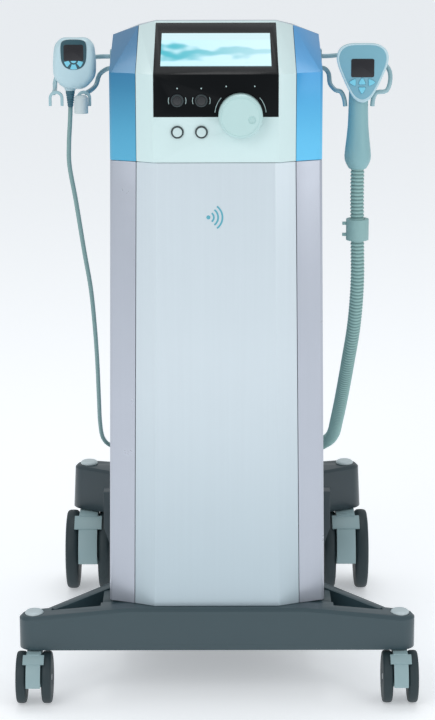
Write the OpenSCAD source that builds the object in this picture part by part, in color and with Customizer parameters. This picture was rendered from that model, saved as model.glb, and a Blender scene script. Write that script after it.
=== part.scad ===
// Ultrasound therapy trolley: cast base on four twin-wheel castors, tapered column,
// control head with a tilted display, and a handpiece in a wire cradle on each side.
// X runs to the right, Y runs to the back, Z runs up; the origin is on the floor.

/* [Base] */
// Distance from the centre line to a front castor
castor_x_front = 244.5; // [200:0.5:300]
// Distance from the centre line to a rear castor
castor_x_rear = 195; // [180:0.5:240]
// Distance between the front and rear wheel axles
wheelbase = 460; // [440:5:560]
// Height of the column seat above the floor
deck_top = 132; // [120:1:160]
// Height of the rear arms' top face
rear_arm_top = 189; // [170:1:220]

/* [Castors] */
// Front wheel diameter
front_wheel_d = 70; // [60:1:78]
// Front wheel width
front_wheel_w = 14; // [9:0.5:16]
// Width of the hub between the front wheels
front_hub_w = 19; // [14:0.5:22]
// Distance from the front swivel axis to its axle
front_trail = 16; // [12:0.5:20]
// Rear wheel diameter
rear_wheel_d = 120; // [100:1:125]
// Rear wheel width
rear_wheel_w = 20; // [14:0.5:24]
// Width of the hub between the rear wheels
rear_hub_w = 28; // [20:0.5:30]
// Distance from the rear swivel axis to its axle
rear_trail = 24; // [18:0.5:30]

/* [Column] */
// Column width at its foot
column_w = 288; // [240:1:300]
// Column width at the head
column_top_w = 272; // [230:1:300]
// Column depth from the front face to the back face
column_depth = 360; // [300:5:380]
// Column height above its seat
column_h = 597; // [500:1:720]
// Width of each corner strip
strip_w = 34; // [24:1:44]
// Width of the flat front facet
front_facet_w = 166; // [140:1:180]
// Panel thickness
wall = 3; // [2:0.5:4]

/* [Head] */
// Height of the upright part of the control face
face_h = 112; // [100:1:140]
// Depth over which the display slopes back
slope_run = 160; // [130:1:180]
// Height that the display slope gains
slope_rise = 52; // [40:1:70]
// Height of the plain band under the black glass
glass_foot = 59; // [50:1:66]
// Display picture width
screen_w = 141; // [110:1:146]
// Display picture length along the slope
screen_l = 101; // [80:1:115]
// Control knob diameter
knob_d = 56; // [44:1:60]
// Push button diameter
button_d = 12; // [10:0.5:15]

/* [Handpieces] */
// Left handpiece width
left_w = 56; // [44:1:60]
// Right handpiece head width
right_w = 68; // [56:1:74]
// Right handle diameter
handle_d = 25; // [20:1:28]
// Cradle rod diameter
rod_d = 6; // [4:0.5:7]
// Left cable diameter
cable_d = 6; // [5:0.5:8]
// Right hose diameter
hose_d = 18; // [14:0.5:20]

/* [Hidden] */
$fn = 48;
eps = 0.02;

// Clearances
seam_gap = 0.6;     // open joint between two covers
run_fit = 0.05;     // radial, shaft in its own bore
wheel_gap = 0.5;    // wheel face to hub
key_gap = 0.4;      // around a push button or key
cord_gap = 0.4;     // a cord's end to the piece it enters

// Base layout
front_axle_y = -wheelbase / 2 - 12.5;
rear_axle_y = wheelbase / 2 - 12.5;
front_castor_y = front_axle_y + front_trail;
rear_castor_y = rear_axle_y + rear_trail;
front_end_r = 20;
rear_end_r = 24;
beam_bottom = 74;
beam_end_bottom = front_wheel_d + 4;
beam_end_top = deck_top - 13;
beam_flat_x = 120;
bevel = 4;
beam_back_y = front_castor_y + front_end_r;
rear_arm_bottom = rear_wheel_d + 3;
deck_half = column_w / 2 - 4;
front_stem_r = 5.5;
rear_stem_r = 8;
stem_h = 30;
swivel_flange = 5;
cap_r = 12.5;
cap_h = 5;
cap_fit = 0.4;

// Column layout
column_front_y = -235;
column_back_y = column_front_y + column_depth;
chamfer_back = 12;
strip_back = 25;
back_chamfer = 30;
column_top = deck_top + column_h;
lean_in = (column_w - column_top_w) / 2;
panel_x = column_w / 2 - strip_w;

// Head layout
fold_z = column_top + face_h;
head_top = fold_z + slope_rise;
head_back_y = column_front_y + slope_run;
head_x = column_top_w / 2;
head_panel_x = panel_x - lean_in;
facet_x = front_facet_w / 2 - 3;
glass_x = facet_x - 1;
edge_drop = 6;      // how much lower the head's top edge is at the panel joint
cheek_drop = 18;    // and at its outer corner
fascia_t = 4;
glass_t = 2;
glass_proud = 0.6;
screen_t = 0.8;
slope_len = sqrt(slope_run * slope_run + slope_rise * slope_rise);
screen_start = 24;
knob_x = 31;
knob_z = column_top + 61;
knob_h = 20;
button_x = [-49, -18.5];
lower_button_z = column_top + 39;
upper_button_z = column_top + 79;
button_travel = 1.5;
button_proud = 3;
shaft_r = 3;

// Side stations
left_x = -head_x - 48;
right_x = head_x + 54;
hand_y = -130;
left_z = column_top + 104;
right_z = column_top + 101;
handle_bottom = column_top - 24;
handle_x = right_x - 4;
left_cord_x = left_x - 6;

function add(p, q) = [for (i = [0:2]) p[i] + q[i]];
function unit(v) = v / norm(v);

function heading(p, i) = unit(p[min(i + 1, len(p) - 1)] - p[max(i - 1, 0)]);

// Side vectors carried along a path without twist.
function sides_along(p, i, s, done) =
    i == len(p) ? done
    : let (t = heading(p, i), next = unit(s - (s * t) * t))
        sides_along(p, i + 1, next, concat(done, [next]));

// A closed tube swept along points, with flat ends.
module tube(points, r, sides = 10) {
    n = len(points);
    last = n - 1;
    first_side = abs(heading(points, 0)[2]) > 0.9 ? [1, 0, 0] : [0, 0, 1];
    side_at = sides_along(points, 0, first_side, []);
    rings = [for (i = [0:last])
        let (s = side_at[i], u = cross(heading(points, i), s))
        for (k = [0:sides - 1])
            points[i] + r * (cos(360 * k / sides) * s + sin(360 * k / sides) * u)];
    skin = [for (i = [0:last - 1])
        for (k = [0:sides - 1])
            [i * sides + k, (i + 1) * sides + k,
             (i + 1) * sides + (k + 1) % sides, i * sides + (k + 1) % sides]];
    polyhedron(concat(rings, [points[0], points[last]]), concat(
        [for (q = skin) for (h = [[q[0], q[1], q[2]], [q[0], q[2], q[3]]]) h],
        [for (k = [0:sides - 1]) [n * sides, k, (k + 1) % sides]],
        [for (k = [0:sides - 1]) [n * sides + 1, last * sides + (k + 1) % sides, last * sides + k]]
    ));
}

// Points on a smooth curve through a route (Catmull-Rom), with `parts` steps a span.
function spline(r, parts) = concat(
    [for (i = [0:len(r) - 2]) for (k = [0:parts - 1])
        let (
            t = k / parts,
            a = r[max(i - 1, 0)],
            b = r[i],
            c = r[i + 1],
            d = r[min(i + 2, len(r) - 1)]
        )
        0.5 * (2 * b + (c - a) * t + (2 * a - 5 * b + 4 * c - d) * t * t
            + (3 * b - a - 3 * c + d) * t * t * t)],
    [r[len(r) - 1]]);

// A panel between two grids of points: the outer face and the same face moved by `back`.
module sheet(grid, back) {
    rows = len(grid);
    cols = len(grid[0]);
    count = rows * cols;
    outer = [for (row = grid) for (p = row) p];
    inner = [for (p = outer) add(p, back)];
    cells = [for (i = [0:rows - 2]) for (j = [0:cols - 2])
        [i * cols + j, i * cols + j + 1, (i + 1) * cols + j + 1, (i + 1) * cols + j]];
    rim = concat(
        [for (j = [0:cols - 2]) [j, j + 1]],
        [for (i = [0:rows - 2]) [i * cols + cols - 1, (i + 1) * cols + cols - 1]],
        [for (j = [cols - 1:-1:1]) [(rows - 1) * cols + j, (rows - 1) * cols + j - 1]],
        [for (i = [rows - 1:-1:1]) [i * cols, (i - 1) * cols]]);
    polyhedron(concat(outer, inner), concat(
        [for (q = cells) for (h = [[q[0], q[3], q[1]], [q[1], q[3], q[2]]]) h],
        [for (q = cells) for (h = [[q[0], q[1], q[3]], [q[1], q[2], q[3]]])
            [h[0] + count, h[1] + count, h[2] + count]],
        [for (e = rim) for (h = [[e[0], e[1], e[1] + count], [e[0], e[1] + count, e[0] + count]]) h]
    ));
}

module mirrored(side) {
    if (side > 0) children();
    else mirror([1, 0, 0]) children();
}

// ---------- base ----------

// Front beam: full width up to the bevel, then drawn in by it.
module beam_block() {
    hull() {
        for (s = [-1, 1])
            translate([s * castor_x_front, front_castor_y, beam_end_bottom]) {
                cylinder(r = front_end_r, h = beam_end_top - beam_end_bottom - bevel, $fn = 32);
                cylinder(r = front_end_r - bevel, h = beam_end_top - beam_end_bottom, $fn = 32);
            }
        translate([-beam_flat_x, front_castor_y - front_end_r, beam_bottom])
            cube([2 * beam_flat_x, 2 * front_end_r, deck_top - beam_bottom - bevel]);
        translate([-beam_flat_x, front_castor_y - front_end_r + bevel, beam_bottom])
            cube([2 * beam_flat_x, 2 * (front_end_r - bevel), deck_top - beam_bottom]);
    }
}

// Diagonal web from the arm's end back to the deck, and the pad where it meets the deck.
module brace(side) {
    web = 12;
    outer = castor_x_front - 6;
    foot = deck_half + 0.3;
    start_y = front_castor_y + 20;
    pad_y = beam_back_y + 66;
    low = beam_end_bottom + 2;
    mirrored(side) {
        hull() {
            translate([outer - web, start_y - 8, low])
                cube([web, 4, beam_end_top - low - 3]);
            translate([foot, pad_y, low])
                cube([4, 18, deck_top - low - 5]);
        }
        translate([foot, beam_back_y - 3, low + 3])
            cube([14, pad_y + 12 - beam_back_y, deck_top - low - 11]);
    }
}

module base_front_beam() {
    color([0.20, 0.28, 0.31])
    difference() {
        union() {
            beam_block();
            brace(-1);
            brace(1);
        }
        for (s = [-1, 1])
            translate([s * castor_x_front, front_castor_y, 0]) {
                cylinder(r = front_stem_r + run_fit, h = 2 * deck_top);
                cylinder(r = front_stem_r + swivel_flange + 1, h = beam_end_bottom + 0.1);
                translate([0, 0, beam_end_top])
                    cylinder(r = cap_r + cap_fit, h = deck_top);
            }
        for (s = [-1, 1])
            mirrored(s)
                translate([0, beam_back_y, beam_bottom - 10])
                    linear_extrude(deck_top)
                        polygon([
                            [castor_x_front - 22.5, -17], [castor_x_front - 22.5, -2.5],
                            [deck_half + 16, 49], [deck_half + 16, -17]
                        ]);
    }
}

module rear_arm(side) {
    root_y = column_back_y + 1;
    height = rear_arm_top - rear_arm_bottom;
    inner_y = rear_castor_y - rear_end_r - 26;
    hull() {
        translate([side * castor_x_rear, rear_castor_y, rear_arm_bottom]) {
            cylinder(r1 = rear_end_r, r2 = rear_end_r - 3, h = height - bevel, $fn = 32);
            cylinder(r = rear_end_r - 3 - bevel, h = height, $fn = 32);
        }
        translate([side * (deck_half - 14) - 26, inner_y, rear_arm_bottom])
            cube([52, 48, height - bevel]);
        translate([side * (deck_half - 14) - 26, inner_y + bevel, rear_arm_bottom])
            cube([52, 40, height]);
    }
    hull() {
        mirrored(side) {
            translate([deck_half - 50, root_y, beam_bottom])
                cube([62, 22, 8]);
            translate([deck_half - 50, root_y, rear_arm_bottom])
                cube([78, 22, 6]);
            translate([deck_half - 50, root_y, rear_arm_top - 24])
                cube([78, 22, 14]);
        }
    }
}

module base_frame() {
    deck_rib = 10;
    color([0.15, 0.22, 0.25])
    difference() {
        union() {
            translate([-deck_half, beam_back_y, beam_bottom])
                cube([2 * deck_half, column_back_y + 27 - beam_back_y, deck_top - beam_bottom]);
            translate([-deck_half, column_back_y + 1, beam_bottom])
                cube([2 * deck_half, 26, rear_arm_top - beam_bottom]);
            translate([-deck_half - 6, column_back_y + 1, rear_arm_bottom + 30])
                cube([2 * deck_half + 12, rear_castor_y - rear_end_r - column_back_y,
                    rear_arm_top - rear_arm_bottom - 31]);
            rear_arm(-1);
            rear_arm(1);
        }
        for (sx = [-1, 1])
            translate([sx * deck_half / 2 - deck_half / 2 + deck_rib, beam_back_y + deck_rib, beam_bottom - 1])
                cube([deck_half - 2 * deck_rib, column_back_y - beam_back_y - 2 * deck_rib,
                    deck_top - beam_bottom - deck_rib]);
        for (s = [-1, 1])
            translate([s * castor_x_rear, rear_castor_y, 0])
                cylinder(r = rear_stem_r + run_fit, h = 2 * rear_arm_top);
    }
}

module arm_cap(x, y, z, r) {
    translate([x, y, z]) {
        cylinder(r = r, h = 2);
        translate([0, 0, 2])
            cylinder(r1 = r, r2 = r * 0.72, h = cap_h - 2);
    }
}

module arm_caps() {
    color([0.66, 0.74, 0.76])
    for (s = [-1, 1]) {
        arm_cap(s * castor_x_front, front_castor_y, beam_end_top, cap_r);
        arm_cap(s * castor_x_rear, rear_castor_y, rear_arm_top, cap_r + 0.5);
    }
}

// ---------- castors ----------

// Wheel on an X axis, with domed faces and a rounded tread.
module wheel(d, w, bore_r) {
    r = d / 2;
    round_r = w * 0.32;
    rotate([0, 90, 0])
        difference() {
            rotate_extrude($fn = 64)
                polygon(concat(
                    [[bore_r, -w / 2], [r * 0.55, -w / 2], [r * 0.86, -w * 0.42]],
                    [for (a = [-90:15:0]) [r - round_r + round_r * cos(a), -w / 2 + w * 0.06 + round_r
                        + round_r * sin(a)]],
                    [for (a = [0:15:90]) [r - round_r + round_r * cos(a), w / 2 - w * 0.06 - round_r
                        + round_r * sin(a)]],
                    [[r * 0.86, w * 0.42], [r * 0.55, w / 2], [bore_r, w / 2]]));
            translate([0, 0, -w])
                cylinder(r = bore_r, h = 2 * w);
        }
}

module castor_wheels(x, axle_y, d, w, hub_w, axle_r) {
    color([0.13, 0.18, 0.20])
    for (s = [-1, 1])
        translate([x + s * (hub_w / 2 + wheel_gap + w / 2), axle_y, d / 2])
            wheel(d, w, axle_r + run_fit);
}

module castor_axle(x, axle_y, d, w, hub_w, axle_r) {
    half = hub_w / 2 + wheel_gap + w - 1;
    color([0.55, 0.58, 0.60])
    translate([x - half, axle_y, d / 2])
        rotate([0, 90, 0])
            cylinder(r = axle_r, h = 2 * half);
}

// Hub between the wheels, a hood ahead of them, the swivel head and its stem.
module castor_fork(x, stem_y, axle_y, d, hub_w, hood_w, axle_r, stem_r, head_z, stem_top) {
    hub_r = d * 0.2;
    hood_in = d / 2 + 1.2;
    hood_t = 2.2;
    color([0.60, 0.69, 0.71])
    difference() {
        union() {
            translate([x - hub_w / 2, axle_y, d / 2])
                rotate([0, 90, 0])
                    cylinder(r = hub_r, h = hub_w);
            translate([x - hub_w / 2, axle_y - hub_r, d / 2])
                cube([hub_w, stem_y + stem_r + swivel_flange - axle_y + hub_r, head_z - d / 2 - 2]);
            translate([x - hood_w / 2, axle_y, d / 2])
                rotate([0, 90, 0])
                    intersection() {
                        difference() {
                            cylinder(r = hood_in + hood_t, h = hood_w);
                            translate([0, 0, -1])
                                cylinder(r = hood_in, h = hood_w + 2);
                        }
                        linear_extrude(hood_w)
                            polygon([[0, 0], [-d, -d * 0.36], [-d, -d * 0.95]]);
                    }
            translate([x - hub_w / 2, axle_y, d / 2])
                rotate([0, 90, 0])
                    intersection() {
                        cylinder(r = hood_in + hood_t / 2, h = hub_w);
                        linear_extrude(hub_w)
                            polygon([[0, 0], [-d, -d * 0.36], [-d, -d * 1.4], [d * 0.08, -d * 1.4]]);
                    }
            translate([x, stem_y, head_z - 8])
                cylinder(r = stem_r + swivel_flange, h = 8 - 0.4);
            translate([x, stem_y, head_z - 1])
                cylinder(r = stem_r, h = stem_top - head_z + 1);
        }
        translate([x - hub_w, axle_y, d / 2])
            rotate([0, 90, 0])
                cylinder(r = axle_r, h = 2 * hub_w);
        translate([0, 0, head_z - 0.4])
            difference() {
                translate([x - 2 * d, stem_y - 2 * d, 0])
                    cube([4 * d, 4 * d, d]);
                translate([x, stem_y, -1])
                    cylinder(r = stem_r, h = 2 * d);
            }
    }
}

front_axle_r = 4;
rear_axle_r = 5;
front_hood_w = 28;
rear_hood_w = 41;
front_stem_top = beam_end_bottom + stem_h;
rear_stem_top = rear_arm_bottom + stem_h + 10;

module front_fork(s) {
    castor_fork(s * castor_x_front, front_castor_y, front_axle_y, front_wheel_d, front_hub_w,
        front_hood_w, front_axle_r, front_stem_r, beam_end_bottom, front_stem_top);
}

module front_axle(s) {
    castor_axle(s * castor_x_front, front_axle_y, front_wheel_d, front_wheel_w, front_hub_w, front_axle_r);
}

module front_wheels(s) {
    castor_wheels(s * castor_x_front, front_axle_y, front_wheel_d, front_wheel_w, front_hub_w, front_axle_r);
}

module rear_fork(s) {
    castor_fork(s * castor_x_rear, rear_castor_y, rear_axle_y, rear_wheel_d, rear_hub_w,
        rear_hood_w, rear_axle_r, rear_stem_r, rear_arm_bottom, rear_stem_top);
}

module rear_axle(s) {
    castor_axle(s * castor_x_rear, rear_axle_y, rear_wheel_d, rear_wheel_w, rear_hub_w, rear_axle_r);
}

module rear_wheels(s) {
    castor_wheels(s * castor_x_rear, rear_axle_y, rear_wheel_d, rear_wheel_w, rear_hub_w, rear_axle_r);
}

// ---------- column ----------

// Rows of a leaning panel for plan points on one or both sides of the centre line.
function lean_rows(plan) = [
    for (z = [deck_top, column_top - seam_gap])
        [for (p = plan) [p[0] - sign(p[0]) * lean_in * (z - deck_top) / column_h, p[1], z]]
];

module column_front_panel() {
    plan = [
        [-panel_x + seam_gap / 2, column_front_y + chamfer_back],
        [-front_facet_w / 2, column_front_y],
        [front_facet_w / 2, column_front_y],
        [panel_x - seam_gap / 2, column_front_y + chamfer_back]
    ];
    color([0.80, 0.85, 0.88])
        sheet(lean_rows(plan), [0, wall, 0]);
}

module corner_strip(side) {
    plan = [
        [panel_x + seam_gap / 2, column_front_y + chamfer_back],
        [column_w / 2 - 3, column_front_y + strip_back - 1],
        [column_w / 2, column_front_y + strip_back + 3]
    ];
    color([0.75, 0.78, 0.83])
    mirrored(side)
        sheet(lean_rows(plan), [0, wall, 0]);
}

module corner_strips() {
    corner_strip(-1);
    corner_strip(1);
}

// Side cover with the turned back corner, one on each side.
module side_cover(side) {
    half = column_w / 2;
    plan = [
        [half, column_front_y + strip_back + 3 + 2 * wall + seam_gap],
        [half, column_back_y - back_chamfer],
        [half - back_chamfer, column_back_y],
        [rear_panel_x + seam_gap + wall, column_back_y]
    ];
    color([0.74, 0.78, 0.81])
    mirrored(side)
        sheet(lean_rows(plan), [-wall, -wall, 0]);
}

module side_covers() {
    side_cover(-1);
    side_cover(1);
}

rear_panel_x = column_w / 2 - back_chamfer - 16;
connector_z = deck_top + 150;

module inner_frame() {
    post = 14;
    px = column_top_w / 2 - 40;
    py0 = column_front_y + 45;
    py1 = column_back_y - 55;
    color([0.62, 0.64, 0.66]) {
        for (x = [-px, px])
            for (y = [py0, py1])
                translate([x - post / 2, y - post / 2, deck_top])
                    cube([post, post, column_h - 10]);
        for (z = [deck_top + 40, deck_top + 320, column_top - 14])
            translate([-px - post / 2, py0 - post / 2, z])
                cube([2 * px + post, py1 - py0 + post, 4]);
    }
}

// ---------- head ----------

// Rows of the control face for the plan points given as [x, set back, top drop].
function face_rows(plan, foot_z, top_y, proud) = [
    [for (p = plan) [p[0], column_front_y + p[1] - proud, foot_z]],
    [for (p = plan) [p[0], column_front_y + p[1] - proud, fold_z + proud * 0.3]],
    [for (p = plan)
        let (share = (top_y - column_front_y - p[1]) / (slope_run - p[1]))
        [p[0], top_y, fold_z + (slope_rise - p[2]) * share + proud]]
];

face_back = [0, fascia_t * 0.95, -fascia_t * 0.3];

module glass_solid(grow, depth, proud) {
    plan = [[-glass_x - grow, 0, 0], [glass_x + grow, 0, 0]];
    sheet(face_rows(plan, column_top + glass_foot - grow, head_back_y - 8 + grow, proud), [0, depth, -depth]);
}

module panel_holes(extra) {
    translate([knob_x, column_front_y + 20, knob_z])
        rotate([90, 0, 0])
            cylinder(r = shaft_r + extra, h = 40);
    for (x = button_x)
        for (z = [lower_button_z, upper_button_z])
            translate([x, column_front_y + 20, z])
                rotate([90, 0, 0])
                    cylinder(r = button_d / 2 + 2 + extra, h = 40);
}

module head_fascia() {
    plan = [
        [-head_panel_x + seam_gap / 2, chamfer_back, edge_drop],
        [-facet_x, 0, 0],
        [facet_x, 0, 0],
        [head_panel_x - seam_gap / 2, chamfer_back, edge_drop]
    ];
    color([0.82, 0.91, 0.91])
    difference() {
        sheet(face_rows(plan, column_top, head_back_y, 0), face_back);
        glass_solid(0.3, 1.9 + 0.6, 0.6);
        panel_holes(0.1);
        translate([-head_x, head_back_y - seam_gap, column_top])
            cube([2 * head_x, 20, face_h + slope_rise + 10]);
        translate([-head_x, column_front_y - 5, column_top - 10])
            cube([2 * head_x, 30, 10.1]);
    }
}

// Frame of the sloped display: origin at the fold, X right, Y up the slope.
module on_slope() {
    translate([0, column_front_y, fold_z])
        rotate([atan2(slope_rise, slope_run), 0, 0])
            children();
}

module control_glass() {
    color([0.03, 0.04, 0.05])
    difference() {
        glass_solid(0, glass_t, glass_proud);
        panel_holes(0.1);
        on_slope()
            translate([-screen_w / 2 - 0.2, screen_start - 0.2, 0.2])
                cube([screen_w + 0.4, screen_l + 0.4, 8]);
    }
}

module display_screen() {
    color([0.55, 0.85, 0.92])
        on_slope()
            translate([-screen_w / 2, screen_start, 0.2])
                cube([screen_w, screen_l, screen_t]);
}

module cheek(side) {
    x0 = head_panel_x + seam_gap / 2;
    y_side = column_front_y + strip_back;
    function row(z) = [
        [x0, column_front_y + chamfer_back, z],
        [head_x - 3, y_side - 1, z],
        [head_x, y_side + 3, z],
        [head_x, head_back_y - seam_gap, z]
    ];
    top = [
        [x0, head_back_y - seam_gap, head_top - edge_drop],
        [head_x - 3, head_back_y - seam_gap, head_top - cheek_drop + 1],
        [head_x, head_back_y - seam_gap, head_top - cheek_drop],
        [head_x, head_back_y - seam_gap, head_top - cheek_drop]
    ];
    color([0.20, 0.58, 0.80])
    mirrored(side)
        hull() {
            for (z = [column_top, fold_z])
                for (p = row(z))
                    translate(p + [p[0] > x0 ? -1 : 0, 0, 0])
                        cube([eps + (p[0] > x0 ? 1 - eps : 0), eps, eps]);
            for (p = top)
                translate(p + [p[0] > x0 ? -1 : 0, -eps, -eps])
                    cube([eps + (p[0] > x0 ? 1 - eps : 0), eps, eps]);
        }
}

module cheek_pocket(side) {
    mirrored(side)
        translate([0, column_front_y + strip_back + 6, column_top - 1])
            cube([head_x - wall, slope_run, face_h + 1 - wall]);
}

module cheek_cover(side) {
    color([0.20, 0.58, 0.80])
    difference() {
        cheek(side);
        cheek_pocket(side);
        mirrored(side)
            translate([head_x - 20, cradle_y, 0])
                for (z = [cradle_low_z, cradle_high_z])
                    translate([0, 0, z])
                        rotate([0, 90, 0])
                            cylinder(r = rod_d / 2 + 0.4, h = 40);
    }
}

cradle_y = -112;
cradle_high_z = column_top + 121;
cradle_low_z = column_top + 105;

module head_section(y, x, shoulder_x, top_x, z_side, z_shoulder, z_top, inset) {
    translate([0, y, 0])
        rotate([90, 0, 0])
            linear_extrude(eps)
                polygon([
                    [-x + inset, column_top - inset], [x - inset, column_top - inset],
                    [x - inset, z_side - inset], [shoulder_x - inset, z_shoulder - inset],
                    [top_x - inset, z_top - inset], [-top_x + inset, z_top - inset],
                    [-shoulder_x + inset, z_shoulder - inset], [-x + inset, z_side - inset]
                ]);
}

module head_rear_solid(inset) {
    rear_top = head_top - 46;
    hull() {
        head_section(head_back_y + eps - inset, head_x, head_panel_x, facet_x, head_top - cheek_drop,
            head_top - edge_drop, head_top, inset);
        head_section(head_back_y + 40, head_x, head_panel_x, facet_x, head_top - cheek_drop - 4,
            head_top - edge_drop - 2, head_top - 3, inset);
        head_section(column_back_y - back_chamfer - inset, head_x, head_x - 16, head_x - 50,
            rear_top - 40, rear_top - 8, rear_top, inset);
        head_section(column_back_y - inset, head_x - back_chamfer, head_x - 42, head_x - 60,
            rear_top - 66, rear_top - 50, rear_top - 44, inset);
    }
}

module head_rear_cover() {
    color([0.76, 0.80, 0.83])
    difference() {
        head_rear_solid(0);
        head_rear_solid(wall);
    }
}

module control_knob() {
    color([0.82, 0.92, 0.91])
    translate([knob_x, column_front_y - 1.2, knob_z])
        rotate([90, 0, 0])
            difference() {
                union() {
                    rotate_extrude($fn = 72)
                        polygon(concat(
                            [[0, 0], [knob_d / 2, 0], [knob_d / 2, knob_h - 3]],
                            [for (a = [0:15:90]) [knob_d / 2 - 3 + 3 * cos(a), knob_h - 3 + 3 * sin(a)]],
                            [[0, knob_h]]));
                    translate([0, 0, -18])
                        cylinder(r = shaft_r, h = 19);
                }
                translate([13.5, -4, knob_h + 9])
                    sphere(r = 11, $fn = 40);
            }
}

module control_board() {
    color([0.10, 0.35, 0.20])
    difference() {
        union() {
            translate([-74, column_front_y + 12, column_top + 20])
                cube([148, 2, 84]);
            translate([knob_x - 8, column_front_y + 7, knob_z - 8])
                cube([16, 12, 16]);
            for (x = button_x)
                for (z = [lower_button_z, upper_button_z])
                    translate([x - 4, column_front_y + 8, z - 4])
                        cube([8, 4.5, 8]);
        }
        translate([knob_x, column_front_y + 20, knob_z])
            rotate([90, 0, 0])
                cylinder(r = shaft_r + run_fit, h = 40);
    }
}

module button_rings() {
    color([0.25, 0.30, 0.33])
    for (x = button_x)
        for (z = [lower_button_z, upper_button_z])
            translate([x, column_front_y + 3.5, z])
                rotate([90, 0, 0])
                    difference() {
                        cylinder(r = button_d / 2 + 2, h = 5.3);
                        translate([0, 0, -1])
                            cylinder(r = button_d / 2 + key_gap, h = 8);
                    }
}

module push_button(x, z, tone) {
    color(tone)
    translate([x, column_front_y + 5, z])
        rotate([90, 0, 0]) {
            cylinder(r = button_d / 2 - 1, h = 2);
            translate([0, 0, 1.5])
                cylinder(r = button_d / 2, h = 5 + button_proud - 2.3);
            translate([0, 0, 6 + button_proud - 2.8])
                cylinder(r1 = button_d / 2, r2 = button_d / 2 - 0.8, h = 0.8);
        }
}

white_tone = [0.90, 0.95, 0.95];
dark_tone = [0.09, 0.11, 0.13];

// ---------- cradles ----------

left_rest_z = left_z - 20;

module cradle_left() {
    x_in = -head_x + 4;
    back_y = cradle_y;
    prong_x = [left_x - 23.5, left_x + 12.5];
    color([0.62, 0.74, 0.77]) {
        tube(spline([
            [x_in, back_y, cradle_high_z], [-head_x - 12, back_y, cradle_high_z],
            [left_x + 18, back_y + 14, cradle_high_z - 3], [left_x, back_y + 20, cradle_high_z - 6],
            [left_x - 18, back_y + 17, cradle_high_z - 14], [left_x - 27, back_y + 6, left_rest_z + 6],
            [left_x - 27, back_y - 10, left_rest_z - 4], [prong_x[0] - 3, hand_y - 20, left_rest_z - 6]
        ], 3), rod_d / 2);
        tube(spline([
            [x_in, back_y, cradle_low_z], [-head_x - 6, back_y, cradle_low_z],
            [left_x + 31, back_y + 4, cradle_low_z - 8], [left_x + 27, back_y - 2, left_rest_z + 1],
            [left_x + 22, back_y - 16, left_rest_z - 4], [prong_x[1] + 3, hand_y - 20, left_rest_z - 6]
        ], 3), rod_d / 2);
        for (x = prong_x)
            translate([x, hand_y - 22.2, left_rest_z - 12])
                rotate([90, 0, 0])
                    difference() {
                        union() {
                            cylinder(r = 9.5, h = 5);
                            translate([-9.5, -10, 0])
                                cube([19, 10, 5]);
                        }
                        translate([0, 0, -1])
                            cylinder(r = 5.8, h = 8);
                        translate([-5.8, -12, -1])
                            cube([11.6, 12, 8]);
                    }
        translate([-head_x - 2.5, back_y, (cradle_low_z + cradle_high_z) / 2])
            difference() {
                translate([0, -8, -17])
                    cube([2, 16, 34]);
                for (z = [cradle_low_z, cradle_high_z])
                    translate([-1, 0, z - (cradle_low_z + cradle_high_z) / 2])
                        rotate([0, 90, 0])
                            cylinder(r = rod_d / 2 + 1.2, h = 5);
            }
    }
}

module cradle_right() {
    x_in = head_x - 4;
    back_y = cradle_y;
    fork_z = column_top + 78;
    color([0.62, 0.74, 0.77]) {
        tube(spline([
            [x_in, back_y, cradle_high_z], [head_x + 12, back_y, cradle_high_z],
            [right_x - 22, back_y + 14, cradle_high_z], [right_x, back_y + 22, cradle_high_z - 2],
            [right_x + 24, back_y + 12, cradle_high_z - 6], [right_x + 36, hand_y + 14, cradle_high_z - 16],
            [right_x + 38, hand_y + 4, fork_z + 14], [right_x + 33, hand_y - 2, fork_z],
            [handle_x + 24, hand_y - 4, fork_z - 2], [handle_x + 19.5, hand_y - 4, fork_z - 10],
            [handle_x + 18.4, hand_y - 4, fork_z - 20]
        ], 3), rod_d / 2);
        tube(spline([
            [x_in, back_y, cradle_low_z], [head_x + 6, back_y, cradle_low_z],
            [head_x + 12, back_y, cradle_low_z - 7], [head_x + 13.5, back_y - 8, fork_z + 8],
            [head_x + 20, hand_y - 2, fork_z + 1], [handle_x - 23, hand_y - 4, fork_z - 1],
            [handle_x - 18.5, hand_y - 4, fork_z - 10], [handle_x - 17, hand_y - 4, fork_z - 20]
        ], 3), rod_d / 2);
        translate([head_x + 0.5, back_y, (cradle_low_z + cradle_high_z) / 2])
            difference() {
                translate([0, -8, -17])
                    cube([2, 16, 34]);
                for (z = [cradle_low_z, cradle_high_z])
                    translate([-1, 0, z - (cradle_low_z + cradle_high_z) / 2])
                        rotate([0, 90, 0])
                            cylinder(r = rod_d / 2 + 1.2, h = 5);
            }
    }
}

// ---------- left handpiece ----------

left_front_y = hand_y - 26;
left_back_y = hand_y + 14;
left_h = 66;

module left_outline(grow) {
    top = left_h / 2 + grow;
    polygon([
        [-left_w * 0.27 - grow, top], [left_w * 0.27 + grow, top], [left_w / 2 + grow, top - 10],
        [left_w / 2 + grow, -4], [left_w * 0.42, -top + 12], [left_w * 0.16, -top],
        [-left_w * 0.16, -top], [-left_w * 0.42, -top + 12], [-left_w / 2 - grow, -4],
        [-left_w / 2 - grow, top - 10]
    ]);
}

module left_handpiece_shell() {
    color([0.72, 0.83, 0.86])
    difference() {
        union() {
            translate([left_x, left_back_y, left_z + 11])
                rotate([90, 0, 0])
                    hull() {
                        translate([0, 0, 4])
                            linear_extrude(left_back_y - left_front_y - 10)
                                left_outline(0);
                        linear_extrude(left_back_y - left_front_y - 2)
                            offset(delta = -4)
                                left_outline(0);
                    }
            translate([left_cord_x, hand_y - 8, left_z - 24])
                cylinder(r1 = 7, r2 = 9, h = 8);
        }
        translate([left_x - 14, left_front_y - 4, left_z + 2])
            cube([28, 10, 34]);
    }
}

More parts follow.
